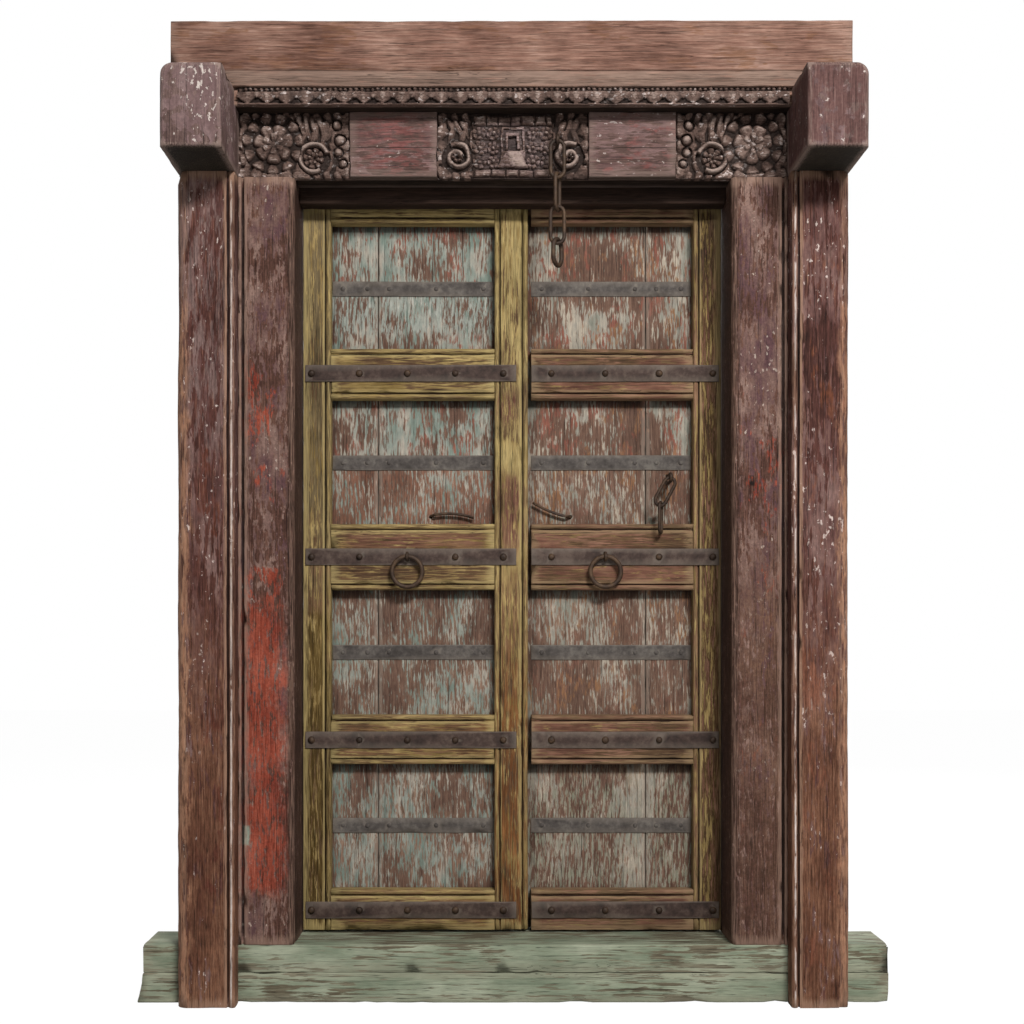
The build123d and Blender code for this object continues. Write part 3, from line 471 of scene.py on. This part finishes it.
left_plank = plank_finish(
    "grey green paint on planks", ("#6c776d", "#83877d", "#999184"), 0.55, plank_red, 0.3, *left_more
)
right_more = (dusty, browned, amber, faded, *seams)
right_plank = plank_finish(
    "cream grey paint on planks", ("#7a796d", "#8d877b", "#a09585"), 0.42, plank_red, 0.36, *right_more
)
# Back of the leaves: bare old hardwood
ledge_wood = aged_wood("bare old hardwood", "X", ("#4b382c", "#65503f", "#7d6653"), worn="#8a7462")


def forged_iron(name, dark, mid, pale, rough):
    """Hand-forged iron: brown-black scale with a little rust, dull and pitted."""
    material = bpy.data.materials.new(name)
    material.use_nodes = True
    tree = material.node_tree
    tree.nodes.clear()
    place = put(tree, "TexCoord").outputs["Object"]
    scale = put(tree, "TexNoise", {0: place, "Scale": 1000 / 14, "Detail": 6.0, "Roughness": 0.65}).outputs[0]
    blotch = put(tree, "TexNoise", {0: place, "Scale": 1000 / 75, "Detail": 4.0, "Roughness": 0.6}).outputs[0]
    both = put(tree, "Math", {0: scale, 1: blotch}, operation="ADD").outputs[0]
    half = put(tree, "Math", {0: both, 1: 0.5}, operation="MULTIPLY").outputs[0]
    colour = put(tree, "ValToRGB", {0: half}, even_stops((dark, mid, pale), 0.38, 0.62)).outputs[0]
    wear_and_shade = put(tree, "Attribute", attribute_name="wear_and_shade").outputs["Fac"]
    bare = put(tree, "MapRange", {"Value": wear_and_shade, 1: 0.15, 2: 0.7, 3: 0.0, 4: 0.3}).outputs[0]
    colour = put(tree, "MixRGB", {0: bare, 1: colour, 2: linear("#857a6e")}).outputs[0]
    bump = put(tree, "Bump", {"Strength": 0.45, "Distance": 0.8 * mm, "Height": scale}).outputs[0]
    shader = put(tree, "BsdfPrincipled", {"Base Color": colour, "Metallic": 0.2, "Roughness": rough, "Normal": bump})
    shader.inputs["Specular IOR Level"].default_value = 0.25
    put(tree, "OutputMaterial", {0: shader.outputs[0]})
    return material


# Straps: thin beaten iron, greyer over the panels; rings, chain and nails: darker brown bar
strap_iron = forged_iron("beaten strap iron", "#271d19", "#3d2f29", "#53453d", 0.75)
panel_iron = forged_iron("greyed strap iron", "#332e2a", "#49433f", "#625c55", 0.75)
bar_iron = forged_iron("forged bar iron", "#20160f", "#33251b", "#4d3a29", 0.62)


# Shapes


def waver(at):
    """A smooth sway in three directions, the same on each run."""
    return Vector([noise.noise(at + Vector((step, 2.3 * step, 3.1 * step))) for step in (0.0, 31.7, 67.9)])


def keep(bm, name, body, slot, material, *stands_for):
    """Makes a finished mesh a piece that rides on a body and stands for its solids."""
    mesh = bpy.data.meshes.new(name)
    bm.normal_update()
    bm.to_mesh(mesh)
    bm.free()
    mesh.polygons.foreach_set("use_smooth", [True] * len(mesh.polygons))
    mesh.set_sharp_from_angle(angle=math.radians(48))
    mesh.materials.append(material)
    piece = bpy.data.objects.new(name, mesh)
    bpy.context.scene.collection.objects.link(piece)
    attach(piece, body)
    if stands_for:
        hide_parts(*stands_for)
    return piece


# The axes of the wooden pivots
pins = []
for side in ("left", "right"):
    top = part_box(f"{side}_pivot_plank")[1][2]
    ends = [v.co for v in nodes[f"{side}_pivot_plank"].data.vertices if v.co.z > top - mm]
    pins.append(sum(ends, Vector()) / len(ends) / mm)


def weather(bm, seed, sway, chip, close=False):
    """Puts faces a little out of true, breaks the front arrises and marks what is rubbed, and what is hollow and so
    gets painted shade.

    The pivot pins and their sockets stay true, so that the leaves turn freely.
    """
    bm.normal_update()
    wear_and_shade = bm.verts.layers.float.new("wear_and_shade")
    bend = {}
    for vert in bm.verts:
        turns = [e.calc_face_angle_signed(0) for e in vert.link_edges if len(e.link_faces) == 2]
        bend[vert] = max(-1, min(1, sum(turns) / 1.2)) if turns else 0
    for vert in bm.verts:
        near = [bend[e.other_vert(vert)] for e in vert.link_edges]
        vert[wear_and_shade] = 0.6 * bend[vert] + 0.4 * sum(near) / len(near)
    shift = Vector((seed * 3.1, seed * 1.7, seed * 2.3))
    depths = [v.co.y for v in bm.verts]
    middle = (min(depths) + max(depths)) / 2
    for vert in bm.verts:
        at = vert.co / mm
        drift = waver(at / 320 + shift) * sway + waver(at / 42 + shift) * (0.25 * sway)
        if close:
            drift.x = 0
        broken = max(0, noise.noise(at / chip_reach + shift) - 0.05)
        loss = broken * chip * max(0, bend[vert]) * (vert.co.y < middle)
        if all((at - pin).xy.length > pin_reach for pin in pins):
            vert.co += (drift - vert.normal * loss * 2) * mm


def paint_shade_by_rails(bm, tops, sides):
    """Marks the planks for painted shade just under each rail and beside each stile."""
    wear_and_shade = bm.verts.layers.float["wear_and_shade"]
    for vert in bm.verts:
        under = [(top - vert.co.z) / mm for top in tops]
        beside = [abs(vert.co.x - side) / mm for side in sides]
        for gap, reach, dark in [(u, 30, 0.62) for u in under if u > -20] + [(b, 15, 0.4) for b in beside]:
            vert[wear_and_shade] -= dark * max(0, 1 - max(0, gap) / reach)


def divide(bm, step):
    """Cuts a mesh by level planes in each direction, so that it can be worn."""
    corners = [Vector(v.co) for v in bm.verts]
    for axis in range(3):
        first = min(c[axis] for c in corners)
        last = max(c[axis] for c in corners)
        count = round((last - first) / (step * mm))
        across = Vector([float(i == axis) for i in range(3)])
        for i in range(1, count):
            geom = bm.verts[:] + bm.edges[:] + bm.faces[:]
            cut = across * (first + (last - first) * i / count)
            bmesh.ops.bisect_plane(bm, geom=geom, plane_co=cut, plane_no=across)


def soften(bm, arris):
    """Rounds the long arrises, less at the back where nothing rubs."""
    depths = [v.co.y for v in bm.verts]
    middle = (min(depths) + max(depths)) / 2
    for behind, offset in ((False, arris), (True, min(arris, 1.2))):
        keen = [
            e
            for e in bm.edges
            if len(e.link_faces) == 2
            and e.calc_face_angle(0) > math.radians(50)
            and e.calc_length() > 30 * mm
            and (min(v.co.y for v in e.verts) > middle) == behind
        ]
        bmesh.ops.bevel(
            bm,
            geom=keen,
            offset=offset * mm,
            offset_type="OFFSET",
            segments=2,
            profile=0.5,
            affect="EDGES",
            clamp_overlap=True,
            material=-1,
        )


def worn_timber(node, body, slot, material, arris=3, sway=1.0, chip=3, step=timber_step, close=False, nooks=None):
    """A solid's own shape, as a timber with worn arrises and faces a little out of true."""
    bm = bmesh.new()
    bm.from_mesh(nodes[node].data)
    bmesh.ops.remove_doubles(bm, verts=bm.verts, dist=0.02 * mm)
    bmesh.ops.dissolve_limit(bm, angle_limit=math.radians(2), verts=bm.verts[:], edges=bm.edges[:])
    soften(bm, arris)
    divide(bm, step)
    weather(bm, sum(ord(c) for c in node) % 37, sway, chip, close)
    # Painted shade on the planks under the rails and beside the stiles
    if nooks:
        paint_shade_by_rails(bm, *nooks)
    return keep(bm, "worn_" + node, body, slot, material, node)


for side in ("left", "right"):
    worn_timber(f"{side}_post", "frame", "post_wood", post_paint, 5, 2.2, 5)
    worn_timber(f"{side}_jamb", "frame", "jamb_wood", jamb_paint, 6, 1.2, 4, close=True)
    worn_timber(f"{side}_corbel", "frame", "post_wood", corbel_paint, 4, 1.6, 5, 16)
worn_timber("head_rail", "frame", "jamb_wood", head_wood, 3, 0.8)
worn_timber("cornice_board", "frame", "cornice_wood", cornice_wood, 4, 1.8, 5)
worn_timber("sill_base", "frame", "sill_wood", sill_paint, 5, 1.5, 5)
worn_timber("sill_board", "frame", "sill_wood", sill_paint, 5, 1.5, 5)
for side in ("left", "right"):
    body = f"{side}_leaf"
    left = side == "left"
    plank_paint, stile_paint, rail_paint = (
        (left_plank, left_stile, left_rail) if left else (right_plank, right_stile, right_rail)
    )
    rails = [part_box(f"{side}_{rail}_rail") for rail in ("bottom", "fourth", "lock", "second", "top")]
    # Rail bottoms and rail ends, where the planks get painted shade
    nooks = ([low[2] for low, high in rails], [rails[0][0][0], rails[0][1][0]])
    worn_timber(f"{side}_pivot_plank", body, "plank_wood", plank_paint, 2, 0.7, 2, 13, nooks=nooks)
    worn_timber(f"{side}_wide_plank", body, "plank_wood", plank_paint, 2, 0.7, 2, 13, nooks=nooks)
    worn_timber(f"{side}_hanging_stile", body, "leaf_frame_wood", stile_paint, 1.2, 0.8, 0.6, close=True)
    for rail in ("bottom", "fourth", "lock", "second", "top"):
        worn_timber(f"{side}_{rail}_rail", body, "leaf_frame_wood", rail_paint, 2.5, 0.7, 4)
        if rail != "top":
            worn_timber(f"{side}_{rail}_strap", body, "iron", strap_iron, 1.2, 0.8, 1.5, 18)
    worn_timber(f"{side}_panel_straps", body, "iron", panel_iron, 1, 0.6, 1.5, 18)
    worn_timber(f"{side}_ledges", body, "ledge_wood", ledge_wood, 3, 0.8, 4)
worn_timber("meeting_stile", "left_leaf", "leaf_frame_wood", left_stile, 2.5, 0.8, 5)


# Carving: heights in millimetres over a block, as functions of x and z


def lobe(x, z, center, angle, length, breadth, rise):
    """One carved petal: narrow at its foot, broad, domed and round at its end, with a vein down the middle."""
    turn = math.radians(angle)
    u = (x - center[0]) * math.cos(turn) + (z - center[1]) * math.sin(turn)
    v = -(x - center[0]) * math.sin(turn) + (z - center[1]) * math.cos(turn)
    s = np.clip(u / length, 0, 1)
    half = breadth / 2 * 1.28 * s**0.55 * np.sqrt(1 - s**5) + 0.001
    inside = (u > 0) & (u < length) & (np.abs(v) < half)
    dome = np.sqrt(np.clip(1 - (v / half) ** 2, 0, 1)) * (0.45 + 0.55 * s) * np.clip((1 - s) * 5, 0, 1) ** 0.5
    vein = 0.3 * np.exp(-((v / (0.1 * breadth)) ** 2)) * (1 - s)
    return np.where(inside, rise * np.maximum(dome - vein, 0.1), 0)


def boss(x, z, center, radius, rise):
    """A half-round knob."""
    far = np.hypot(x - center[0], z - center[1]) / radius
    return np.where(far < 1, rise * np.sqrt(np.clip(1 - far**2, 0, 1)), 0)


def coil(x, z, center, start, end, first, turns, band, rise, hand=1):
    """A scroll: a rounded ribbon that winds in from the radius start to end, from the angle first."""
    far = np.hypot(x - center[0], z - center[1])
    angle = np.degrees(np.arctan2(z - center[1], x - center[0])) * hand
    height = np.zeros_like(x)
    for lap in range(-1, math.ceil(turns) + 1):
        share = ((angle - first) / 360 + lap) / turns
        off = (far - (start + (end - start) * share)) / (band / 2)
        on = (share >= 0) & (share <= 1) & (np.abs(off) < 1)
        height = np.maximum(height, np.where(on, rise * np.sqrt(np.clip(1 - off**2, 0, 1)), 0))
    return height


def wreath(x, z, center, radius, count, first, lean, length, breadth, rise):
    """Leaves set round a circle, pointing outwards with a lean."""
    height = np.zeros_like(x)
    for i in range(count):
        angle = math.radians(first + 360 * i / count)
        at = (center[0] + radius * math.cos(angle), center[1] + radius * math.sin(angle))
        height = np.maximum(height, lobe(x, z, at, math.degrees(angle) + lean, length, breadth, rise))
    return height


def row(x, z, first, last, count, angle, length, breadth, rise):
    """Leaves side by side along a line."""
    height = np.zeros_like(x)
    for share in np.linspace(0, 1, count):
        at = (first[0] + (last[0] - first[0]) * share, first[1] + (last[1] - first[1]) * share)
        height = np.maximum(height, lobe(x, z, at, angle, length, breadth, rise))
    return height


def foliage(x, z, width):
    """Scale-like leaves laid close over a whole block."""
    height = np.full_like(x, 1.0)
    for i, level in enumerate(range(-14, 150, 23)):
        shift = 11 * (i % 2)
        angle = (64, 108, 84)[i % 3]
        leaves = row(x, z, (shift - 4, level), (shift + width, level), round(width / 22), angle, 34, 19, 13)
        height = np.maximum(height, leaves)
    return height


def sink(height, x, z, at, radius, depth):
    """Cuts the ground away round a flower or scroll."""
    return np.where(np.hypot(x - at[0], z - at[1]) < radius, depth, height)


def end_block(x, z):
    """A cupped rosette by the post and a scroll round a small flower, with stacked leaves about them."""
    rosette = (178, 80)
    bloom = (84, 46)
    leaves = [
        row(x, z, (226, 14), (226, 138), 5, 355, 32, 30, 15),
        row(x, z, (250, 26), (112, 26), 5, 276, 28, 34, 14),
        row(x, z, (28, 14), (28, 138), 5, 180, 28, 30, 16),
        row(x, z, (126, 84), (60, 84), 5, 80, 66, 15, 17),
        row(x, z, (58, 84), (38, 86), 2, 116, 54, 18, 15),
        row(x, z, (134, 18), (112, 58), 3, 200, 26, 24, 13),
    ]
    height = np.maximum.reduce([foliage(x, z, side_carving), *leaves])
    for at, radius in (((30, 122), 11), ((24, 88), 12), ((26, 60), 10), ((132, 118), 12), ((18, 34), 9)):
        height = np.maximum(sink(height, x, z, at, radius + 2.5, 1.0), boss(x, z, at, radius, 15))
    height = sink(height, x, z, bloom, 39, 1.0)
    height = np.maximum(height, coil(x, z, bloom, 34, 30, 200, 0.78, 12, 16, -1))
    height = np.maximum(height, wreath(x, z, bloom, 8, 8, 10, 0, 17, 15, 13))
    height = np.maximum(height, wreath(x, z, bloom, 2, 6, 12, 0, 12, 10, 17))
    height = np.maximum(sink(height, x, z, rosette, 71, 1.0), wreath(x, z, rosette, 45, 11, 8, 0, 27, 31, 15))
    height = sink(height, x, z, rosette, 47.5, 0.5)
    for radius, count, first, length, breadth, rise in ((10, 7, 12, 36, 33, 15), (4, 6, 30, 22, 18, 18)):
        height = np.maximum(height, wreath(x, z, rosette, radius, count, first, 0, length, breadth, rise))
    return sink(height, x, z, rosette, 6, 6.0)


def middle_block(x, z):
    """A stepped niche over a pedestal, among columns of small flowers, between two leafy scrolls."""
    across = x
    x = np.abs(x - middle_carving / 2)
    scroll = (128, 50)
    leaves = [
        row(x, z, (148, 16), (148, 138), 5, 0, 28, 30, 15),
        row(x, z, (102, 88), (134, 92), 3, 70, 52, 15, 16),
        row(x, z, (96, 20), (150, 18), 4, 270, 18, 22, 13),
    ]
    height = np.maximum.reduce([foliage(x, z, middle_carving / 2), *leaves])
    height = sink(height, x, z, scroll, 37, 1.0)
    height = np.maximum(height, coil(x, z, scroll, 32, 9, 60, 1.3, 12, 17))
    height = np.maximum(height, wreath(x, z, scroll, 2, 6, 0, 0, 9, 8, 16))
    height = np.where(x < 92, 3.0, height)
    # Courses of squared beads over and under the niche
    for first, pitch, low, high in ((0, 28, 123, 144), (14, 34, 4, 20)):
        along = np.abs(np.mod(across + first, pitch) - pitch / 2)
        inset = np.minimum(pitch / 2 - 0.8 - along, np.minimum(z - low, high - z))
        height = np.maximum(height, np.where((inset > 0) & (x < 90), np.clip(8 + inset, 0, 12), 0))
    for column in (46, 77):
        for level in (38, 71, 104):
            height = np.maximum(height, wreath(x, z, (column, level), 3, 6, column, 0, 13, 13, 13))
            height = np.maximum(height, boss(x, z, (column, level), 5, 15))
    # Steps of the niche and its pedestal
    for wide, low, high, rise in ((27, 24, 119, 10), (22, 64, 113, 4), (16, 66, 106, 10), (10, 66, 97, 1)):
        inset = np.minimum(wide - x, np.minimum(z - low, high - z))
        height = np.where(inset > 0, rise, height)
    inset = np.minimum(36 - (z - 24) * 0.5 - x, np.minimum(z - 24, 64 - z))
    return np.where(inset > 0, 9 + np.clip(inset, 0, 5), height)


def carved_face(
    bm, x0, x1, z0, z1, ground, pattern, mirrored=False, sunk=carving_back, worn=1.0, lift=1.0, crown=0.52
):
    """A fine grid over a block, each point raised from its ground by the carver's pattern, closed at the back.

    Heights above the share crown of the highest are rubbed pale, and lower ones get painted shade.
    """
    wear_and_shade = bm.verts.layers.float.get("wear_and_shade") or bm.verts.layers.float.new("wear_and_shade")
    start = set(bm.verts)
    columns, rows = round((x1 - x0) / carving_pitch), round((z1 - z0) / carving_pitch)
    bmesh.ops.create_grid(bm, x_segments=columns, y_segments=rows, size=0.5)
    face = [v for v in bm.verts if v not in start]
    turned = Matrix.Translation(((x0 + x1) / 2 * mm, ground * mm, (z0 + z1) / 2 * mm)) @ Matrix.Rotation(
        math.radians(90), 4, "X"
    )
    bmesh.ops.transform(bm, matrix=turned @ Matrix.Diagonal(((x1 - x0) * mm, (z1 - z0) * mm, 1, 1)), verts=face)
    xs = np.array([v.co.x / mm for v in face])
    zs = np.array([v.co.z / mm for v in face])
    drift = np.array([waver(v.co / (26 * mm)) for v in face]) * 3.2 * worn
    xs, zs = xs + drift[:, 0], zs + drift[:, 2] * 0.6
    heights = pattern(x1 - xs if mirrored else xs - x0, zs - z0) * lift
    top = heights.max()
    for vert, height in zip(face, heights):
        at = vert.co / mm
        tool = noise.noise(at / 5) * 1.5 + noise.noise(at / 17) * 1.9
        wear = 1 - min(0.8, worn * max(0, noise.noise(at / 40)) * 0.6)
        vert.co.y = (ground - height * wear - (tool if height > 0.5 else tool * 0.6)) * mm
        # High points mark wear; low points get painted shade
        vert[wear_and_shade] = (height * wear / top - crown) * 1.5
    rim = [e for v in face for e in v.link_edges if e.is_boundary]
    back = bmesh.ops.extrude_edge_only(bm, edges=list(dict.fromkeys(rim)))["geom"]
    for vert in back:
        if isinstance(vert, bmesh.types.BMVert):
            vert.co.y = (ground + sunk) * mm
    bmesh.ops.edgeloop_fill(bm, edges=[e for e in back if isinstance(e, bmesh.types.BMEdge) and e.is_boundary])


def block(bm, x0, x1, y0, y1, z0, z1):
    """A plain squared block."""
    place = Matrix.Translation(((x0 + x1) / 2 * mm, (y0 + y1) / 2 * mm, (z0 + z1) / 2 * mm))
    size = Matrix.Diagonal(((x1 - x0) * mm, (y1 - y0) * mm, (z1 - z0) * mm, 1))
    bmesh.ops.create_cube(bm, size=1, matrix=place @ size)


# Lintel: a beam with plain fields, and three carved blocks let into its face
field_edge = post_inner - side_carving
bm = bmesh.new()
block(bm, -post_outer, post_outer, carving_ground + 2, lintel_back, lintel_low, lintel_high)
for side in (-1, 1):
    for near, far in ((middle_carving / 2, field_edge), (post_inner, post_outer)):
        block(bm, *sorted((side * near, side * far)), jamb_face, carving_ground + 2, lintel_low, lintel_high)
soften(bm, 2.5)
divide(bm, timber_step)
weather(bm, 5, 1.0, 3)
keep(bm, "lintel_timber", "frame", "carved_wood", field_paint, "lintel_beam")

bm = bmesh.new()
for x0, x1, pattern, mirrored, worn in (
    (-post_inner, -field_edge, end_block, True, 1.1),
    (-middle_carving / 2, middle_carving / 2, middle_block, False, 1.5),
    (field_edge, post_inner, end_block, False, 1.1),
):
    carved_face(bm, x0, x1, lintel_low, lintel_high, carving_ground, pattern, mirrored, worn=worn, lift=1.15)
keep(bm, "lintel_carving", "frame", "carved_wood", carved_wood, "lintel_beam")

# Cornice moulding: a plain fascia, a row of beads and a row of hanging scallops
cornice_low, cornice_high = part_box("cornice_moulding")
cornice_half = cornice_high[0] / mm
fascia_face = cornice_low[1] / mm
band_low, band_high = cornice_low[2] / mm, cornice_high[2] / mm
band_top = band_low + 40
band_face = fascia_face + 11


def scallop_row(x, z):
    """Beads over pointed tongues, with drilled hollows between them, which get painted shade, and a fillet below."""
    bead_pitch, tongue_pitch = 12, 44
    bead = (np.mod(x, bead_pitch) - bead_pitch / 2) / 5.2
    up = (z - 35) / 4.6
    height = 9 * np.sqrt(np.clip(1 - bead**2 - up**2, 0, 1))
    height = np.maximum(height, np.where((np.abs(z - 29) < 1.6) | (z < 3.4), 8, 0))
    for shift, width, drop, rise in ((0, 23, 25, 9), (0, 12, 17, 11), (22, 10, 14, 10)):
        across = np.abs(np.mod(x + shift, tongue_pitch) - tongue_pitch / 2)
        depth = (28 - z) / drop
        half = width * np.clip(1 - np.clip(depth, 0, 1) ** 2, 0, 1) ** 0.7 + 0.001
        on = (depth > 0) & (depth < 1) & (across < half)
        height = np.maximum(height, np.where(on, rise - 4 * (across / half) ** 2, 0))
    return height


bm = bmesh.new()
block(bm, -cornice_half, cornice_half, fascia_face, lintel_back, band_top, band_high)
block(bm, -cornice_half, cornice_half, band_face + 4, lintel_back, band_low, band_top)
soften(bm, 2)
divide(bm, timber_step)
weather(bm, 9, 1.2, 4)
keep(bm, "cornice_fascia", "frame", "cornice_wood", cornice_wood, "cornice_moulding")
bm = bmesh.new()
band_end = post_inner - 6
carved_face(bm, -band_end, band_end, band_low, band_top, band_face, scallop_row, sunk=6, worn=1.1, crown=0.74)
keep(bm, "cornice_scallops", "frame", "cornice_wood", carved_wood, "cornice_moulding")


# Iron


def forge(bm, seed, amount, stout=0):
    """Hammer marks on a bar, which may be a little stouter."""
    bm.normal_update()
    shift = Vector((seed * 1.3, seed * 0.7, seed * 2.9))
    for vert in bm.verts:
        vert.co += vert.normal * (noise.noise(vert.co / (9 * mm) + shift) * amount + stout) * mm


def smooth_bar(node, body, stout=0.5, bow=0):
    """A solid's own bar, rounded and hammered, and bowed up or down in the middle where it was bent."""
    bm = bmesh.new()
    bm.from_mesh(nodes[node].data)
    bmesh.ops.remove_doubles(bm, verts=bm.verts, dist=0.01 * mm)
    if bow:
        divide(bm, 6)
    forge(bm, sum(ord(c) for c in node) % 29, 0.35, stout)
    first = min(v.co.x for v in bm.verts)
    last = max(v.co.x for v in bm.verts)
    for vert in bm.verts:
        share = (vert.co.x - first) / (last - first)
        vert.co.z += 4 * share * (1 - share) * bow * mm
    return keep(bm, "forged_" + node, body, "iron", bar_iron, node)


for number in (1, 2, 3):
    smooth_bar(f"chain_link_{number}", f"chain_link_{number}")
smooth_bar("chain_end_link", "chain_end_link")
smooth_bar("chain_staple", "frame")
smooth_bar("hasp_staple", "right_leaf")
for number in (1, 2):
    smooth_bar(f"hasp_link_{number}", f"hasp_link_{number}")
for side in ("left", "right"):
    smooth_bar(f"{side}_ring", f"{side}_ring", stout=0.9)
    smooth_bar(f"{side}_ring_staple", f"{side}_leaf")
    smooth_bar(f"{side}_spike", f"{side}_leaf", stout=-0.6, bow=8 if side == "left" else -6)


def domed_nails(node, body, radius, height, material):
    """Round heads over the solids' faceted ones, each hammered a little differently."""
    solid = bmesh.new()
    solid.from_mesh(nodes[node].data)
    bmesh.ops.remove_doubles(solid, verts=solid.verts, dist=0.02 * mm)
    face = min(v.co.y for v in solid.verts)
    fronts = [f.calc_center_median() for f in solid.faces if max(v.co.y for v in f.verts) < face + 0.05 * mm]
    solid.free()
    middles = []
    for at in fronts:
        if all((at - other).length > radius * mm for other in middles):
            middles.append(at)
    bm = bmesh.new()
    for i, at in enumerate(middles):
        near = [f for f in fronts if (f - at).length < radius * 2 * mm]
        center = sum(near, Vector()) / len(near)
        foot = Vector((center.x, face + height * mm, center.z))
        wide = radius * (1 + 0.12 * noise.noise(Vector((i * 1.7, radius, 0))))
        made = bmesh.ops.create_uvsphere(bm, u_segments=14, v_segments=8, radius=1)["verts"]
        size = Matrix.Diagonal((wide * mm, height * mm, wide * mm, 1))
        bmesh.ops.transform(bm, matrix=Matrix.Translation(foot) @ size, verts=made)
    forge(bm, len(middles), 0.5)
    return keep(bm, "domed_" + node, body, "iron", material, node)


for side in ("left", "right"):
    domed_nails(f"{side}_dome_nails", f"{side}_leaf", 8.5, 7, bar_iron)
    domed_nails(f"{side}_panel_nails", f"{side}_leaf", 5.5, 2.6, panel_iron)

# Studio: a pale floor, a white surround and soft lamps
scene = bpy.context.scene
scene.view_settings.view_transform = "Standard"

bm = bmesh.new()
bmesh.ops.create_grid(bm, x_segments=1, y_segments=1, size=12)
floor_mesh = bpy.data.meshes.new("floor")
bm.to_mesh(floor_mesh)
bm.free()
floor = bpy.data.objects.new("floor", floor_mesh)
scene.collection.objects.link(floor)
# Floor: matt white paint, seen as white away from the door's own shadow
floor_paint = bpy.data.materials.new("matt white floor paint")
floor_paint.use_nodes = True
tree = floor_paint.node_tree
tree.nodes.clear()
seen = put(tree, "LightPath").outputs["Is Camera Ray"]
matt = put(tree, "BsdfDiffuse", {"Color": linear("#d2d2d2")}).outputs[0]
white = put(tree, "Emission", {"Color": (1, 1, 1, 1), "Strength": 1.045}).outputs[0]
fade = put(tree, "Math", {0: seen, 1: 0.94}, operation="MULTIPLY").outputs[0]
put(tree, "OutputMaterial", {0: put(tree, "MixShader", {0: fade, 1: matt, 2: white}).outputs[0]})
floor_mesh.materials.append(floor_paint)

world = bpy.data.worlds.new("studio")
scene.world = world
world.use_nodes = True
tree = world.node_tree
tree.nodes.clear()
path = put(tree, "LightPath")
glossy = put(tree, "Math", {0: path.outputs["Is Camera Ray"], 1: path.outputs["Is Glossy Ray"]}, operation="MAXIMUM")
direct = put(tree, "Math", {0: glossy.outputs[0], 1: path.outputs["Is Transmission Ray"]}, operation="MAXIMUM")
lit = put(tree, "Background", {"Color": (1, 1, 1, 1), "Strength": 0.12}).outputs[0]
plain = put(tree, "Background", {"Color": (1, 1, 1, 1), "Strength": 1.0}).outputs[0]
put(tree, "OutputWorld", {0: put(tree, "MixShader", {0: direct.outputs[0], 1: lit, 2: plain}).outputs[0]})


def lamp(name, at, aim, size, power):
    """A soft box at a place, turned to a point; lengths in metres and power in watts."""
    light = bpy.data.lights.new(name, "AREA")
    light.shape = "RECTANGLE"
    light.size, light.size_y = size
    light.energy = power
    stand = bpy.data.objects.new(name, light)
    stand.location = at
    stand.rotation_euler = (Vector(aim) - Vector(at)).to_track_quat("-Z", "Y").to_euler()
    scene.collection.objects.link(stand)


lamp("key_softbox", (1.4, -4.2, 4.0), (0, 0, 1.1), (1.6, 0.6), 345)
lamp("fill_softbox", (-1.4, -4.4, 1.6), (0, 0, 0.9), (2.6, 2.6), 14)
lamp("back_softbox", (0.8, 4.6, 3.2), (0, 0, 1.0), (2.6, 1.8), 220)

# Camera: straight on and level, with its lens shifted to frame the door as in the photograph
camera = bpy.data.cameras.new("camera")
camera.sensor_width = 36
camera.lens = 50.44
camera.shift_x = 0.0215
camera.shift_y = 0.1152
viewer = bpy.data.objects.new("camera", camera)
viewer.location = (-53 * mm, -3311 * mm, 858 * mm)
viewer.rotation_euler = (math.radians(90), 0, 0)
scene.collection.objects.link(viewer)
scene.camera = viewer
